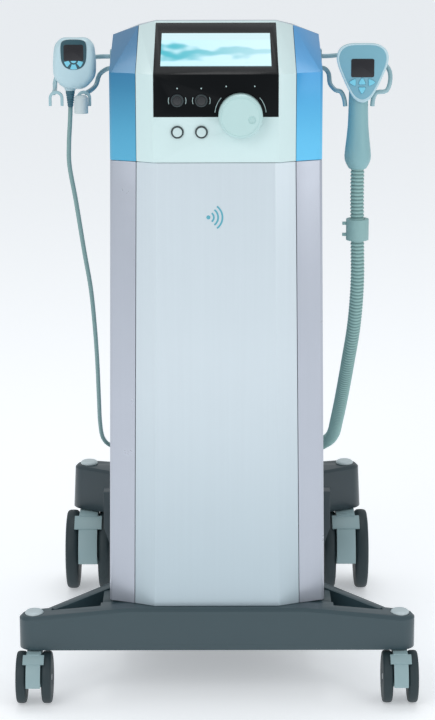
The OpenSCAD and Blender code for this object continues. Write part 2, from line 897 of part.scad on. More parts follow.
module left_handpiece_screen() {
    color([0.05, 0.07, 0.09])
    translate([left_x - 13.7, left_front_y + 1.2, left_z + 17.3])
        cube([27.4, 4.6, 18.4]);
}

module left_handpiece_keypad() {
    color([0.35, 0.75, 0.85])
    translate([left_x - 13.7, left_front_y + 1, left_z + 2.3])
        cube([27.4, 4.8, 14.4]);
}

module left_strain_relief() {
    color([0.35, 0.47, 0.52])
    translate([left_cord_x, hand_y - 8, left_z - 46 + cord_gap])
        cylinder(r1 = cable_d / 2 + 0.8, r2 = 6, h = 22 - 2 * cord_gap);
}

module left_treatment_tip() {
    color([0.80, 0.82, 0.84])
    translate([left_x, left_back_y + 14, left_z + 14])
        rotate([90, 0, 0])
            cylinder(r = 15, h = 14 - 0.2);
}

module spare_tip() {
    neck_z = left_rest_z - 22;
    color([0.70, 0.78, 0.80]) {
        translate([left_x + 12.5, hand_y - 22, neck_z])
            rotate([90, 0, 0])
                cylinder(r = 5.5, h = 12);
        translate([left_x + 9.5, hand_y - 36.6, neck_z - 8])
            cylinder(r = 9, h = 20);
        translate([left_x + 9.5, hand_y - 36.6, neck_z + 11.9])
            cylinder(r1 = 9, r2 = 6.5, h = 3);
    }
}

// ---------- right handpiece ----------

face_y = hand_y - 22;

module shield(w, h) {
    polygon([
        [-w * 0.36, h * 0.22], [-w * 0.24, h * 0.3], [w * 0.24, h * 0.3], [w * 0.36, h * 0.22],
        [w * 0.5, h * 0.05], [w * 0.44, -h * 0.22], [w * 0.2, -h * 0.6], [0, -h * 0.7],
        [-w * 0.2, -h * 0.6], [-w * 0.44, -h * 0.22], [-w * 0.5, h * 0.05]
    ]);
}

module right_handpiece_shell() {
    neck = right_z - 24 - handle_bottom;
    color([0.58, 0.73, 0.76]) {
        translate([right_x, hand_y + 6, right_z + 17])
            rotate([90, 0, 0])
                hull() {
                    translate([0, 0, 8])
                        linear_extrude(18)
                            shield(right_w - 3, right_h - 1.5);
                    linear_extrude(20)
                        shield(right_w - 16, right_h - 16);
                }
        translate([handle_x, hand_y - 6, handle_bottom])
            rotate_extrude()
                polygon([
                    [0, cord_gap], [hose_d / 2 + 3, cord_gap], [handle_d / 2 + 5, 12],
                    [handle_d / 2 + 4, 27], [handle_d / 2 + 0.7, 60], [handle_d / 2 - 0.1, neck], [0, neck]
                ]);
    }
}

module right_face_plate() {
    color([0.42, 0.62, 0.70])
    difference() {
        translate([right_x, face_y + 1.7, right_z + 17])
            rotate([90, 0, 0])
                linear_extrude(3)
                    shield(right_w, right_h);
        translate([right_x, face_y - 3, right_z + 9])
            cube([right_screen_w + 0.6, 20, right_screen_h + 0.6], center = true);
        for (k = [0:3])
            translate([right_x + key_at[k][0], face_y + 4, right_z + key_at[k][1]])
                rotate([90, 0, 0])
                    cylinder(r = key_r + key_gap, h = 10);
    }
}

right_h = 77;
right_screen_w = 30;
right_screen_h = 24;
key_r = 4;
key_at = [[-0.5, -9], [-0.5, -19], [-12, -9.5], [11, -9.5]];
key_travel = 0.8;

module right_screen() {
    color([0.04, 0.06, 0.08])
        translate([right_x, face_y, right_z + 9])
            cube([right_screen_w, 2.6, right_screen_h], center = true);
}

module right_key(k) {
    color([0.30, 0.72, 0.88])
    translate([right_x + key_at[k][0], face_y + 0.7, right_z + key_at[k][1]])
        rotate([90, 0, 0])
            cylinder(r = key_r, h = 3.2);
}

module right_applicator() {
    color([0.78, 0.80, 0.82])
    translate([right_x, hand_y + 20, right_z + 12])
        rotate([90, 0, 0])
            difference() {
                cylinder(r1 = 17, r2 = 21, h = 13.7);
                translate([0, 0, -1])
                    cylinder(r = 14, h = 2);
            }
}

// ---------- cords ----------

cable_route = [
    [left_cord_x, hand_y - 8, left_z - 46], [-191, -138, 768], [-193, -136, 738], [-193, -131, 708],
    [-186, -122, 660], [-177, -108, 590], [-170, -90, 535], [-167, -65, 480],
    [-166, -30, 420], [-167, 20, 350], [-168, 60, 305], [-166, 100, 270], [-155, 140, 246],
    [-130, 165, 232], [-100, 176, 238], [-80, 180, 270], [-74, 180, 330], [-72, 178, 420],
    [-70, 176, 510], [-66, 174, 590], [-54, 172, 625], [-38, 170, 634], [-24, 168, 622],
    [-16, 168, 580], [-14, 168, 500], [-14, 168, 430], [-20, 174, 392], [-36, 180, 364],
    [-53, 174, 352], [-60, 158, 350], [-60, 140, 350]
];
hose_route = [
    [handle_x, hand_y - 6, handle_bottom], [186, -136, 665], [187, -136, 610], [188, -130, 550],
    [185.5, -112, 490], [180, -78, 430], [175, -30, 370], [171, 25, 318], [168, 80, 280],
    [157, 135, 252], [124, 180, 224], [77, 198, 212], [30, 204, 222], [0, 206, 252], [-13, 206, 300],
    [-13, 206, 370], [-13, 206, 450], [-12, 206, 520], [8, 208, 572], [60, 216, 595],
    [112, 224, 573], [134, 228, 520], [126, 228, 462], [100, 220, 414], [80, 194, 382],
    [75, 168, 370], [75, 150, 368]
];

module left_cable() {
    color([0.52, 0.64, 0.63])
        tube(spline(cable_route, 2), cable_d / 2, 8);
}

module right_hose() {
    color([0.56, 0.73, 0.71])
        tube(spline(hose_route, 2), hose_d / 2, 10);
}

module hose_clip() {
    clip_z = 624;
    color([0.50, 0.66, 0.66])
    difference() {
        union() {
            translate([186.8, -136, clip_z - 14])
                cylinder(r = 15, h = 28);
            for (z = [clip_z - 9, clip_z + 6])
                translate([186.8 - 20, -138, z])
                    cube([10, 4, 4]);
        }
        translate([186.8, -136, clip_z - 20])
            cylinder(r = hose_d / 2 + 0.9, h = 40);
    }
}

// Two padded pegs on the back of the column that carry the slack of the cable and the hose.
module cord_hanger() {
    color([0.30, 0.34, 0.37]) {
        hanger(60, 595 - hose_d / 2 - 8.3, 8, 245);
        hanger(-39, 633 - cable_d / 2 - 5.3, 5, 196);
    }
}

module hanger(x, z, r, end_y) {
    translate([x, column_back_y + 0.02, z])
        rotate([-90, 0, 0]) {
            cylinder(r = r * 1.8, h = 5);
            cylinder(r = r, h = end_y - column_back_y);
            translate([0, 0, end_y - column_back_y - 4])
                cylinder(r = r * 1.7, h = 4);
        }
}

module cable_plug() {
    color([0.35, 0.47, 0.52])
    translate([-60, 139.4, 350])
        rotate([90, 0, 0])
            cylinder(r = 8, h = 139.4 - column_back_y - 0.3);
}

module hose_plug() {
    color([0.35, 0.47, 0.52])
    translate([75, 148.6, 368])
        rotate([90, 0, 0])
            cylinder(r = 14, h = 148.6 - column_back_y - 0.3);
}

// ---------- back of the column ----------

// Service panel: vents, mains inlet, switch opening and equalisation pin.
module rear_panel() {
    z0 = connector_z;
    half_top = rear_panel_x - lean_in;
    vent_w = 140;
    color([0.30, 0.34, 0.37])
    difference() {
        union() {
            translate([0, column_back_y, 0])
                rotate([90, 0, 0])
                    linear_extrude(wall)
                        polygon([
                            [-rear_panel_x, deck_top], [rear_panel_x, deck_top],
                            [half_top, column_top - seam_gap], [-half_top, column_top - seam_gap]
                        ]);
            translate([-80, column_back_y - 24, z0 + 14])
                cube([42, 23, 34]);
            translate([0, column_back_y - 1, z0 + 30])
                rotate([-90, 0, 0])
                    cylinder(r = 3, h = 1 + 14);
        }
        translate([-75, column_back_y - 19, z0 + 20])
            cube([24, 40, 20]);
        translate([20, column_back_y - 20, z0 + 20])
            cube([30.8, 40, 22]);
        for (k = [0:7])
            translate([-vent_w / 2, column_back_y - wall - 4, column_top - 60 - k * 12])
                cube([vent_w, wall + 8, 5]);
    }
}

module power_switch() {
    z0 = connector_z;
    pivot = [35.4, column_back_y + 1, z0 + 31];
    color([0.08, 0.08, 0.09])
    translate(pivot) {
        rotate([-8, 0, 0])
            translate([-14, -8, -9])
                cube([28, 9, 18]);
        translate([-15, 0, 0])
            rotate([0, 90, 0])
                cylinder(r = 2.4, h = 30);
    }
}

// ---------- inside ----------

module power_supply() {
    color([0.70, 0.72, 0.74])
    translate([-85, -120, deck_top + 44.5])
        cube([170, 150, 70]);
}

module generator_board() {
    color([0.10, 0.40, 0.25]) {
        translate([-80, -130, deck_top + 330])
            cube([160, 180, 2]);
        for (k = [0:3])
            translate([-60 + 34 * k, -90, deck_top + 332])
                cube([20, 60, 24]);
    }
}

module cooling_unit() {
    color([0.75, 0.82, 0.88]) {
        translate([-60, -100, deck_top + 120])
            cube([120, 120, 120]);
        translate([0, 10, deck_top + 240])
            cylinder(r = 18, h = 40);
    }
}

module cooling_fan() {
    color([0.12, 0.12, 0.13])
    translate([0, column_back_y - wall - 26, column_top - 100])
        rotate([-90, 0, 0]) {
            difference() {
                translate([-46, -46, 0])
                    cube([92, 92, 25]);
                translate([0, 0, -1])
                    cylinder(r = 43, h = 30);
            }
            cylinder(r = 16, h = 20);
            for (k = [0:6])
                rotate([0, 0, k * 360 / 7])
                    translate([0, -1.5, 4])
                        cube([42, 3, 14]);
            for (a = [0, 90])
                rotate([0, 0, a])
                    translate([-45, -2, 0])
                        cube([90, 4, 3]);
        }
}

base_front_beam();
base_frame();
arm_caps();
front_fork(-1);  // castor_fork_fl
front_axle(-1);  // castor_axle_fl
front_wheels(-1);  // castor_wheels_fl
front_fork(1);  // castor_fork_fr
front_axle(1);  // castor_axle_fr
front_wheels(1);  // castor_wheels_fr
rear_fork(-1);  // castor_fork_rl
rear_axle(-1);  // castor_axle_rl
rear_wheels(-1);  // castor_wheels_rl
rear_fork(1);  // castor_fork_rr
rear_axle(1);  // castor_axle_rr
rear_wheels(1);  // castor_wheels_rr
column_front_panel();
corner_strips();
side_covers();
inner_frame();
head_fascia();
control_glass();
display_screen();
cheek_cover(-1);  // cheek_left
cheek_cover(1);  // cheek_right
head_rear_cover();
control_knob();
control_board();
button_rings();
push_button(button_x[0], upper_button_z, dark_tone);  // button_upper_left
push_button(button_x[1], upper_button_z, dark_tone);  // button_upper_right
push_button(button_x[0], lower_button_z, white_tone);  // button_lower_left
push_button(button_x[1], lower_button_z, white_tone);  // button_lower_right
cradle_left();
cradle_right();
hose_clip();
left_handpiece_shell();
left_handpiece_screen();
left_handpiece_keypad();
left_strain_relief();
left_treatment_tip();
spare_tip();
right_handpiece_shell();
right_face_plate();
right_screen();
right_key(0);  // right_key_up
right_key(1);  // right_key_down
right_key(2);  // right_key_left
right_key(3);  // right_key_right
right_applicator();
left_cable();
right_hose();
cable_plug();
hose_plug();
cord_hanger();
rear_panel();
power_switch();
power_supply();
generator_board();
cooling_unit();
cooling_fan();
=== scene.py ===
"""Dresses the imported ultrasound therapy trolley: finishes, shaped shells, cords and studio."""

import logging
import math
from dataclasses import dataclass, field
from enum import Enum

import bmesh
import bpy
from mathutils import Euler, Matrix, Vector


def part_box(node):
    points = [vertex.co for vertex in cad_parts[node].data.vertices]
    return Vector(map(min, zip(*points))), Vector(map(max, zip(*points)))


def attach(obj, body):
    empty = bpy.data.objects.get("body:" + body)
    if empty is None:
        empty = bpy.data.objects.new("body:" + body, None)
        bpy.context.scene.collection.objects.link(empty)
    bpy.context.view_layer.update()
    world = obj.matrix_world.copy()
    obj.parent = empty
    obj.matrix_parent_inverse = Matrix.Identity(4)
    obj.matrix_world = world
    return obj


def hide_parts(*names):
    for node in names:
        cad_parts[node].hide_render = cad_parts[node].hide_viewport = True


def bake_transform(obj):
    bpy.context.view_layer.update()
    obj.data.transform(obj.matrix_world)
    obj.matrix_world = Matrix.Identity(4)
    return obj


log = logging.getLogger("trolley")
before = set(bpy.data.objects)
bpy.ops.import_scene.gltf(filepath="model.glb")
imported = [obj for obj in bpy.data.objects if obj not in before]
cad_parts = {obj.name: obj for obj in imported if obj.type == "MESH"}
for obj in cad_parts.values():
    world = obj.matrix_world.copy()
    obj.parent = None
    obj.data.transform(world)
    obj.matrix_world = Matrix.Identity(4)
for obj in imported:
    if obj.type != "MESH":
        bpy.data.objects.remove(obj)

Obj = bpy.types.Object
Material = bpy.types.Material
Tree = bpy.types.NodeTree
Socket = bpy.types.NodeSocket
Points = list[Vector]
Pairs = list[tuple[float, float]]
Rgb = tuple[float, float, float]
Route = list[tuple[float, float, float]]
MM = 0.001


class Axis(Enum):
    """The way a turned piece's heights grow."""

    RIGHT = "right"
    BACK = "back"
    FRONT = "front"
    UP = "up"


# --------------------------------------------------------------------------- shape helpers


@dataclass(frozen=True)
class NodeBox:
    """The box of one CAD node.

    Args:
        node: The node's name.
    """

    node: str

    @property
    def lo(self) -> Vector:
        """Lowest corner."""
        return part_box(self.node)[0]

    @property
    def hi(self) -> Vector:
        """Highest corner."""
        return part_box(self.node)[1]

    @property
    def mid(self) -> Vector:
        """Centre."""
        return (self.lo + self.hi) / 2

    @property
    def size(self) -> Vector:
        """Edge lengths."""
        return self.hi - self.lo


def add_mesh(name: str, verts: Points, faces: list[list[int]], crease: float = 35.0) -> Obj:
    """Makes a linked mesh object with outward normals and smooth shading.

    Args:
        name: Piece name.
        verts: Vertex positions in metres.
        faces: Vertex indices of each face.
        crease: Angle in degrees above which an edge stays sharp.

    Returns:
        The new object.
    """
    mesh = bpy.data.meshes.new(name)
    mesh.from_pydata([tuple(v) for v in verts], [], faces)
    work = bmesh.new()
    work.from_mesh(mesh)
    bmesh.ops.remove_doubles(work, verts=work.verts, dist=1e-6)
    bmesh.ops.recalc_face_normals(work, faces=work.faces)
    work.to_mesh(mesh)
    work.free()
    return link_smooth(name, mesh, crease)


def link_smooth(name: str, mesh: bpy.types.Mesh, crease: float) -> Obj:
    """Links a mesh as an object and shades it smooth up to the crease angle in degrees."""
    mesh.shade_smooth()
    mesh.set_sharp_from_angle(angle=math.radians(crease))
    piece = bpy.data.objects.new(name, mesh)
    bpy.context.scene.collection.objects.link(piece)
    return piece


def baked(piece: Obj, crease: float = 35.0) -> Obj:
    """Turns an object and its live modifiers into a plain mesh object of the same name.

    Args:
        piece: The object to bake; it is removed.
        crease: Angle in degrees above which an edge stays sharp.

    Returns:
        The plain mesh object.
    """
    bpy.context.view_layer.update()
    graph = bpy.context.evaluated_depsgraph_get()
    mesh = bpy.data.meshes.new_from_object(piece.evaluated_get(graph), depsgraph=graph)
    name = piece.name
    bpy.data.objects.remove(piece)
    mesh.name = name
    return link_smooth(name, mesh, crease)


def loft(name: str, rings: list[Points], crease: float = 35.0) -> Obj:
    """Skins closed rings of equal count into one closed surface.

    Args:
        name: Piece name.
        rings: Rings in order along the piece.
        crease: Angle in degrees above which an edge stays sharp.

    Returns:
        The new object.
    """
    count = len(rings[0])
    verts = [p for ring in rings for p in ring]
    faces = [
        [i * count + k, i * count + (k + 1) % count, (i + 1) * count + (k + 1) % count, (i + 1) * count + k]
        for i in range(len(rings) - 1)
        for k in range(count)
    ]
    faces.append(list(range(count)))
    faces.append([(len(rings) - 1) * count + k for k in range(count)])
    return add_mesh(name, verts, faces, crease)


def sized(shares: Pairs, across: float, along: float) -> Pairs:
    """Scales pairs given as shares of two sizes."""
    return [(a * across, b * along) for a, b in shares]


def in_mm(pairs: Pairs) -> Pairs:
    """Turns pairs given in millimetres into metres."""
    return sized(pairs, MM, MM)


def lathe(
    name: str, profile: Pairs, at: Vector, axis: Axis, segments: int = 72, crease: float = 35.0
) -> Obj:
    """Turns a profile of (radius, height) about an axis.

    Args:
        name: Piece name.
        profile: Radius and height pairs from one end to the other.
        at: Where height 0 lies on the axis.
        axis: The way heights grow.
        segments: Steps around.
        crease: Angle in degrees above which an edge stays sharp.

    Returns:
        The new object.
    """
    turn = {
        Axis.RIGHT: Matrix.Rotation(math.pi / 2, 3, "Y"),
        Axis.BACK: Matrix.Rotation(-math.pi / 2, 3, "X"),
        Axis.FRONT: Matrix.Rotation(math.pi / 2, 3, "X"),
        Axis.UP: Matrix.Identity(3),
    }[axis]
    rings = [
        [
            at + turn @ Vector((r * math.cos(a), r * math.sin(a), h))
            for a in (2 * math.pi * k / segments for k in range(segments))
        ]
        for r, h in ((max(r, 1e-5), h) for r, h in profile)
    ]
    return loft(name, rings, crease)


def softened(node: str, width: float = 0.8 * MM, steps: int = 2, angle: float = 28.0) -> Obj:
    """Copies a CAD node's mesh, joins its loose triangles and rounds its sharp edges.

    Args:
        node: The CAD node.
        width: Width of the rounded edge in metres.
        steps: Segments across the rounded edge.
        angle: Edges sharper than this many degrees are rounded.

    Returns:
        A new piece that stands for the node.
    """
    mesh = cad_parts[node].data.copy()
    mesh.materials.clear()
    work = bmesh.new()
    work.from_mesh(mesh)
    bmesh.ops.remove_doubles(work, verts=work.verts, dist=2e-5)
    bmesh.ops.dissolve_degenerate(work, edges=work.edges, dist=1e-5)
    bmesh.ops.dissolve_limit(
        work, angle_limit=math.radians(0.6), verts=work.verts, edges=work.edges, use_dissolve_boundaries=False
    )
    work.to_mesh(mesh)
    work.free()
    name = node + "_finished"
    piece = bpy.data.objects.new(name, mesh)
    bpy.context.scene.collection.objects.link(piece)
    bevel = piece.modifiers.new("edges", "BEVEL")
    bevel.width = width
    bevel.segments = steps
    bevel.limit_method = "ANGLE"
    bevel.angle_limit = math.radians(angle)
    bevel.harden_normals = False
    piece = baked(piece, 50.0)
    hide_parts(node)
    return piece


def between(a: Vector, b: Vector, c: Vector, d: Vector, t: float) -> Vector:
    """Point at share t of the smooth span from b to c, with a and d on either side."""
    bend = (2 * a - 5 * b + 4 * c - d) * t * t
    return 0.5 * (2 * b + (c - a) * t + bend + (3 * b - a - 3 * c + d) * t * t * t)


def smooth_route(points: Route, spacing: float) -> Points:
    """Runs a smooth curve through points and spaces it evenly.

    Args:
        points: Route points in millimetres.
        spacing: Distance between the returned points, in metres.

    Returns:
        Evenly spaced points in metres.
    """
    knots = [Vector(p) * MM for p in points]
    fine: Points = []
    parts = 24
    last = len(knots) - 1
    for i in range(last):
        a, b, c, d = knots[max(i - 1, 0)], knots[i], knots[i + 1], knots[min(i + 2, last)]
        for k in range(parts):
            t = k / parts
            fine.append(between(a, b, c, d, t))
    fine.append(knots[-1])
    total = path_length(fine)
    count = max(2, round(total / spacing))
    step = total / count
    even = [fine[0]]
    travelled, target = 0.0, step
    for p, q in zip(fine, fine[1:]):
        piece = (q - p).length
        while travelled + piece >= target - 1e-9 and len(even) < count:
            even.append(p.lerp(q, (target - travelled) / piece))
            target += step
        travelled += piece
    even.append(fine[-1])
    return even


def path_length(points: Points) -> float:
    """Length of a line through points."""
    return sum((q - p).length for p, q in zip(points, points[1:]))


def tube_rings(points: Points, radii: list[float], sides: int) -> list[Points]:
    """Rings around a path, carried along it without twist.

    Args:
        points: Ring centres.
        radii: Radius at each centre.
        sides: Points in a ring.

    Returns:
        One ring for each centre.
    """
    last = len(points) - 1
    rings: list[Points] = []
    side = Vector((1.0, 0.3, 0.1))
    for i, (p, r) in enumerate(zip(points, radii)):
        along = (points[min(i + 1, last)] - points[max(i - 1, 0)]).normalized()
        side = (side - along * side.dot(along)).normalized()
        up = along.cross(side)
        rings.append(
            [
                p + r * (math.cos(2 * math.pi * k / sides) * side + math.sin(2 * math.pi * k / sides) * up)
                for k in range(sides)
            ]
        )
    return rings


def joined(name: str, parts: list[Obj], crease: float = 35.0) -> Obj:
    """Joins separate closed meshes into one piece."""
    work = bmesh.new()
    for part in parts:
        work.from_mesh(part.data)
        bpy.data.objects.remove(part)
    mesh = bpy.data.meshes.new(name)
    work.to_mesh(mesh)
    work.free()
    return link_smooth(name, mesh, crease)


def closed_outline(points: Pairs, count: int) -> Pairs:
    """A smooth closed outline through a few points, with `count` points on it."""
    total = len(points)
    out = []
    for k in range(count):
        s = k * total / count
        i, t = int(s), s - int(s)
        a, b, c, d = (Vector(points[(i + o) % total]) for o in (-1, 0, 1, 2))
        p = between(a, b, c, d, t)
        out.append((p.x, p.y))
    return out


def rounded_box(half_x: float, half_z: float, radius: float) -> Pairs:
    """Outline of a rectangle with rounded corners."""
    out = []
    for turn, sx, sz in ((0, 1, 1), (90, -1, 1), (180, -1, -1), (270, 1, -1)):
        for step in range(7):
            a = math.radians(turn + 15 * step)
            x, z = sx * (half_x - radius), sz * (half_z - radius)
            out.append((x + radius * math.cos(a), z + radius * math.sin(a)))
    return out


def plate(
    name: str, outline: Pairs, at: Vector, front: float, back: float, edge: float
) -> Obj:
    """A flat piece with an outline in X and Z and a rounded front edge.

    Args:
        name: Piece name.
        outline: Outline about the centre, in metres.
        at: Centre; its Y is not used.
        front: Y of the front face.
        back: Y of the back face.
        edge: Radius of the rounded front edge.

    Returns:
        The new object.
    """
    reach = max(math.hypot(x, z) for x, z in outline)
    rings = []
    for turn in range(0, 91, 30):
        inset = edge * (1 - math.cos(math.radians(90 - turn)))
        depth = edge * (1 - math.sin(math.radians(90 - turn)))
        share = 1 - inset / reach
        rings.append([Vector((at.x + x * share, front + depth, at.z + z * share)) for x, z in outline])
    rings.sort(key=lambda ring: ring[0].y)
    rings.append([Vector((at.x + x, back, at.z + z)) for x, z in outline])
    return loft(name, rings, 40.0)


def printed_arc(
    name: str, at: Vector, r: float, span: tuple[float, float], half: float, rise: float, sink: float
) -> Obj:
    """A thin arc printed on an upright face.

    Args:
        name: Piece name.
        at: Centre of the arc, on the face.
        r: Radius of its centre line.
        span: First and last angle in degrees.
        half: Half its width.
        rise: How far it stands out of the face.
        sink: How far it reaches into the face.

    Returns:
        The new object.
    """
    corners = ((r - half, sink), (r + half, sink), (r + half, -rise), (r - half, -rise))
    steps = 24
    rings = []
    for step in range(steps + 1):
        a = math.radians(span[0] + (span[1] - span[0]) * step / steps)
        rings.append([at + Vector((rr * math.cos(a), dy, rr * math.sin(a))) for rr, dy in corners])
    return loft(name, rings)


# --------------------------------------------------------------------------- shader groups


def new_group(name: str, inputs: list[tuple[str, str, object]], outputs: list[tuple[str, str]]) -> Tree:
    """Starts a shader node group with named sockets.

    Args:
        name: Group name.
        inputs: (name, socket type, default) of each input.
        outputs: (name, socket type) of each output.

    Returns:
        The empty group.
    """
    tree = bpy.data.node_groups.new(name, "ShaderNodeTree")
    for label, kind, value in inputs:
        socket = tree.interface.new_socket(name=label, in_out="INPUT", socket_type=kind)
        socket.default_value = value
    for label, kind in outputs:
        tree.interface.new_socket(name=label, in_out="OUTPUT", socket_type=kind)
    return tree


def math_node(tree: Tree, operation: str, *values: object) -> Socket:
    """Adds a Math node; each value is a number or a socket. Returns its result."""
    node = tree.nodes.new("ShaderNodeMath")
    node.operation = operation
    for i, value in enumerate(values):
        if isinstance(value, (int, float)):
            node.inputs[i].default_value = value
        else:
            tree.links.new(value, node.inputs[i])
    return node.outputs[0]


def noise_node(tree: Tree, vector: Socket, scale: object, detail: float) -> Socket:
    """Adds a 3D noise of the given scale. Returns its factor."""
    node = tree.nodes.new("ShaderNodeTexNoise")
    node.inputs["Detail"].default_value = detail
    node.inputs["Roughness"].default_value = 0.55
    tree.links.new(vector, node.inputs["Vector"])
    if isinstance(scale, (int, float)):
        node.inputs["Scale"].default_value = scale
    else:
        tree.links.new(scale, node.inputs["Scale"])
    return node.outputs["Fac"]


def mix_colour(tree: Tree, share: object, a: object, b: object) -> Socket:
    """Adds a colour Mix node; share is a number or socket, a and b colours or sockets. Returns its result."""
    node = tree.nodes.new("ShaderNodeMix")
    node.data_type = "RGBA"
    for socket, value in ((node.inputs[0], share), (node.inputs[6], a), (node.inputs[7], b)):
        if isinstance(value, (int, float)):
            socket.default_value = value
        elif isinstance(value, tuple):
            socket.default_value = (*value, 1.0) if len(value) == 3 else value
        else:
            tree.links.new(value, socket)
    return node.outputs[2]


def ramp_share(tree: Tree, value: Socket, low: float, high: float) -> Socket:
    """Maps a value smoothly to 0 at low and 1 at high."""
    node = tree.nodes.new("ShaderNodeMapRange")
    node.interpolation_type = "SMOOTHSTEP"
    node.inputs["From Min"].default_value = low
    node.inputs["From Max"].default_value = high
    tree.links.new(value, node.inputs["Value"])
    return node.outputs["Result"]


def build_surface_group() -> Tree:
    """Tone drift, dust speckle and moulding grain that every finish shares."""
    tree = new_group(
        "moulded_surface",
        [
            ("Colour", "NodeSocketColor", (0.5, 0.5, 0.5, 1.0)),
            ("Drift", "NodeSocketFloat", 0.05),
            ("Drift Scale", "NodeSocketFloat", 9.0),
            ("Grain Scale", "NodeSocketFloat", 1800.0),
            ("Grain Tone", "NodeSocketFloat", 0.03),
            ("Roughness", "NodeSocketFloat", 0.4),
            ("Roughness Spread", "NodeSocketFloat", 0.06),
        ],
        [("Colour", "NodeSocketColor"), ("Roughness", "NodeSocketFloat"), ("Height", "NodeSocketFloat")],
    )
    start = tree.nodes.new("NodeGroupInput")
    end = tree.nodes.new("NodeGroupOutput")
    place = tree.nodes.new("ShaderNodeTexCoord").outputs["Object"]
    drift = noise_node(tree, place, start.outputs["Drift Scale"], 3.0)
    grain = noise_node(tree, place, start.outputs["Grain Scale"], 2.0)
    smear = noise_node(tree, place, 38.0, 4.0)
    centred = math_node(tree, "SUBTRACT", drift, 0.5)
    shift = math_node(tree, "MULTIPLY", centred, start.outputs["Drift"])
    speck = math_node(tree, "MULTIPLY", math_node(tree, "SUBTRACT", grain, 0.5), start.outputs["Grain Tone"])
    light = math_node(tree, "ADD", math_node(tree, "ADD", math_node(tree, "MULTIPLY", shift, 2.0), speck), 1.0)
    tone = tree.nodes.new("ShaderNodeVectorMath")
    tone.operation = "SCALE"
    tree.links.new(start.outputs["Colour"], tone.inputs[0])
    tree.links.new(light, tone.inputs["Scale"])
    tree.links.new(tone.outputs[0], end.inputs["Colour"])
    smeared = math_node(tree, "SUBTRACT", smear, 0.5)
    spread = math_node(tree, "MULTIPLY", smeared, start.outputs["Roughness Spread"])
    rough = math_node(tree, "ADD", math_node(tree, "MULTIPLY", spread, 2.0), start.outputs["Roughness"])
    tree.links.new(rough, end.inputs["Roughness"])
    tree.links.new(grain, end.inputs["Height"])
    return tree


SURFACE = build_surface_group()


# --------------------------------------------------------------------------- finishes


@dataclass(frozen=True)
class Finish:
    """A moulded, painted or metal surface.

    Args:
        name: Material name.
        colour: Linear base colour.
        roughness: Mean roughness.
        metallic: Metallic share.
        coat: Clear coat weight.
        drift: Slow tone change.
        grain_scale: Scale of the moulding grain.
        grain: Depth of the grain in metres.
        fade: Second colour that the base turns to between two heights; here every fade is painted light and
            shade.
        fade_axis: Axis index of that change.
        fade_from: Where the second colour starts.
        fade_to: Where it is complete.
        glow: Emission strength.
        shine: Strength of the plain surface reflection.
    """

    name: str
    colour: Rgb
    roughness: float = 0.42
    metallic: float = 0.0
    coat: float = 0.0
    drift: float = 0.04
    grain_scale: float = 1600.0
    grain: float = 0.00004
    fade: Rgb | None = None
    fade_axis: int = 2
    fade_from: float = 0.0
    fade_to: float = 1.0
    glow: float = 0.0
    shine: float = 0.5

    def base(self, tree: Tree, place: Socket) -> object:
        """The colour before the shared surface effects."""
        if self.fade is None:
            return self.colour
        split = tree.nodes.new("ShaderNodeSeparateXYZ")
        tree.links.new(place, split.inputs[0])
        share = ramp_share(tree, split.outputs[self.fade_axis], self.fade_from, self.fade_to)
        return mix_colour(tree, share, self.colour, self.fade)

    def build(self) -> Material:
        """Makes the material once and returns it from then on."""
        made = bpy.data.materials.get(self.name)
        if made is not None:
            return made
        material = bpy.data.materials.new(self.name)
        material.use_nodes = True
        tree = material.node_tree
        shader = tree.nodes["Principled BSDF"]
        place = tree.nodes.new("ShaderNodeTexCoord").outputs["Object"]
        group = tree.nodes.new("ShaderNodeGroup")
        group.node_tree = SURFACE
        base = self.base(tree, place)
        if isinstance(base, tuple):
            group.inputs["Colour"].default_value = (*base, 1.0)
        else:
            tree.links.new(base, group.inputs["Colour"])
        group.inputs["Drift"].default_value = self.drift
        group.inputs["Grain Scale"].default_value = self.grain_scale
        group.inputs["Roughness"].default_value = self.roughness
        tree.links.new(group.outputs["Colour"], shader.inputs["Base Color"])
        tree.links.new(group.outputs["Roughness"], shader.inputs["Roughness"])
        bump = tree.nodes.new("ShaderNodeBump")
        bump.inputs["Strength"].default_value = 0.35
        bump.inputs["Distance"].default_value = self.grain
        tree.links.new(group.outputs["Height"], bump.inputs["Height"])
        tree.links.new(bump.outputs["Normal"], shader.inputs["Normal"])
        shader.inputs["Metallic"].default_value = self.metallic
        shader.inputs["Coat Weight"].default_value = self.coat
        shader.inputs["Coat Roughness"].default_value = 0.12
        shader.inputs["Specular IOR Level"].default_value = self.shine
        if self.glow:
            tree.links.new(group.outputs["Colour"], shader.inputs["Emission Color"])
            shader.inputs["Emission Strength"].default_value = self.glow
        return material


@dataclass(frozen=True)
class PictureFinish(Finish):
    """A lit display: pale blue picture with soft flowing waves and a plain header band."""

    def base(self, tree: Tree, place: Socket) -> object:
        """Waves that follow warped distance across the picture."""
        box = NodeBox("display_screen")
        split = tree.nodes.new("ShaderNodeSeparateXYZ")
        tree.links.new(place, split.inputs[0])
        warp = noise_node(tree, place, 17.0, 2.0)
        bend = math_node(tree, "ADD", split.outputs[1], math_node(tree, "MULTIPLY", warp, 0.11))
        wave = math_node(tree, "SINE", math_node(tree, "MULTIPLY", bend, 95.0))
        crest = ramp_share(tree, wave, -0.3, 1.0)
        body = mix_colour(tree, crest, (0.50, 0.76, 0.82), (0.05, 0.42, 0.50))
        bright = ramp_share(tree, split.outputs[0], box.lo.x, box.hi.x)
        body = mix_colour(tree, math_node(tree, "MULTIPLY", bright, 0.55), body, (0.62, 0.80, 0.84))
        top = ramp_share(tree, split.outputs[1], box.hi.y - 0.021, box.hi.y - 0.020)
        return mix_colour(tree, top, body, (0.55, 0.72, 0.75))


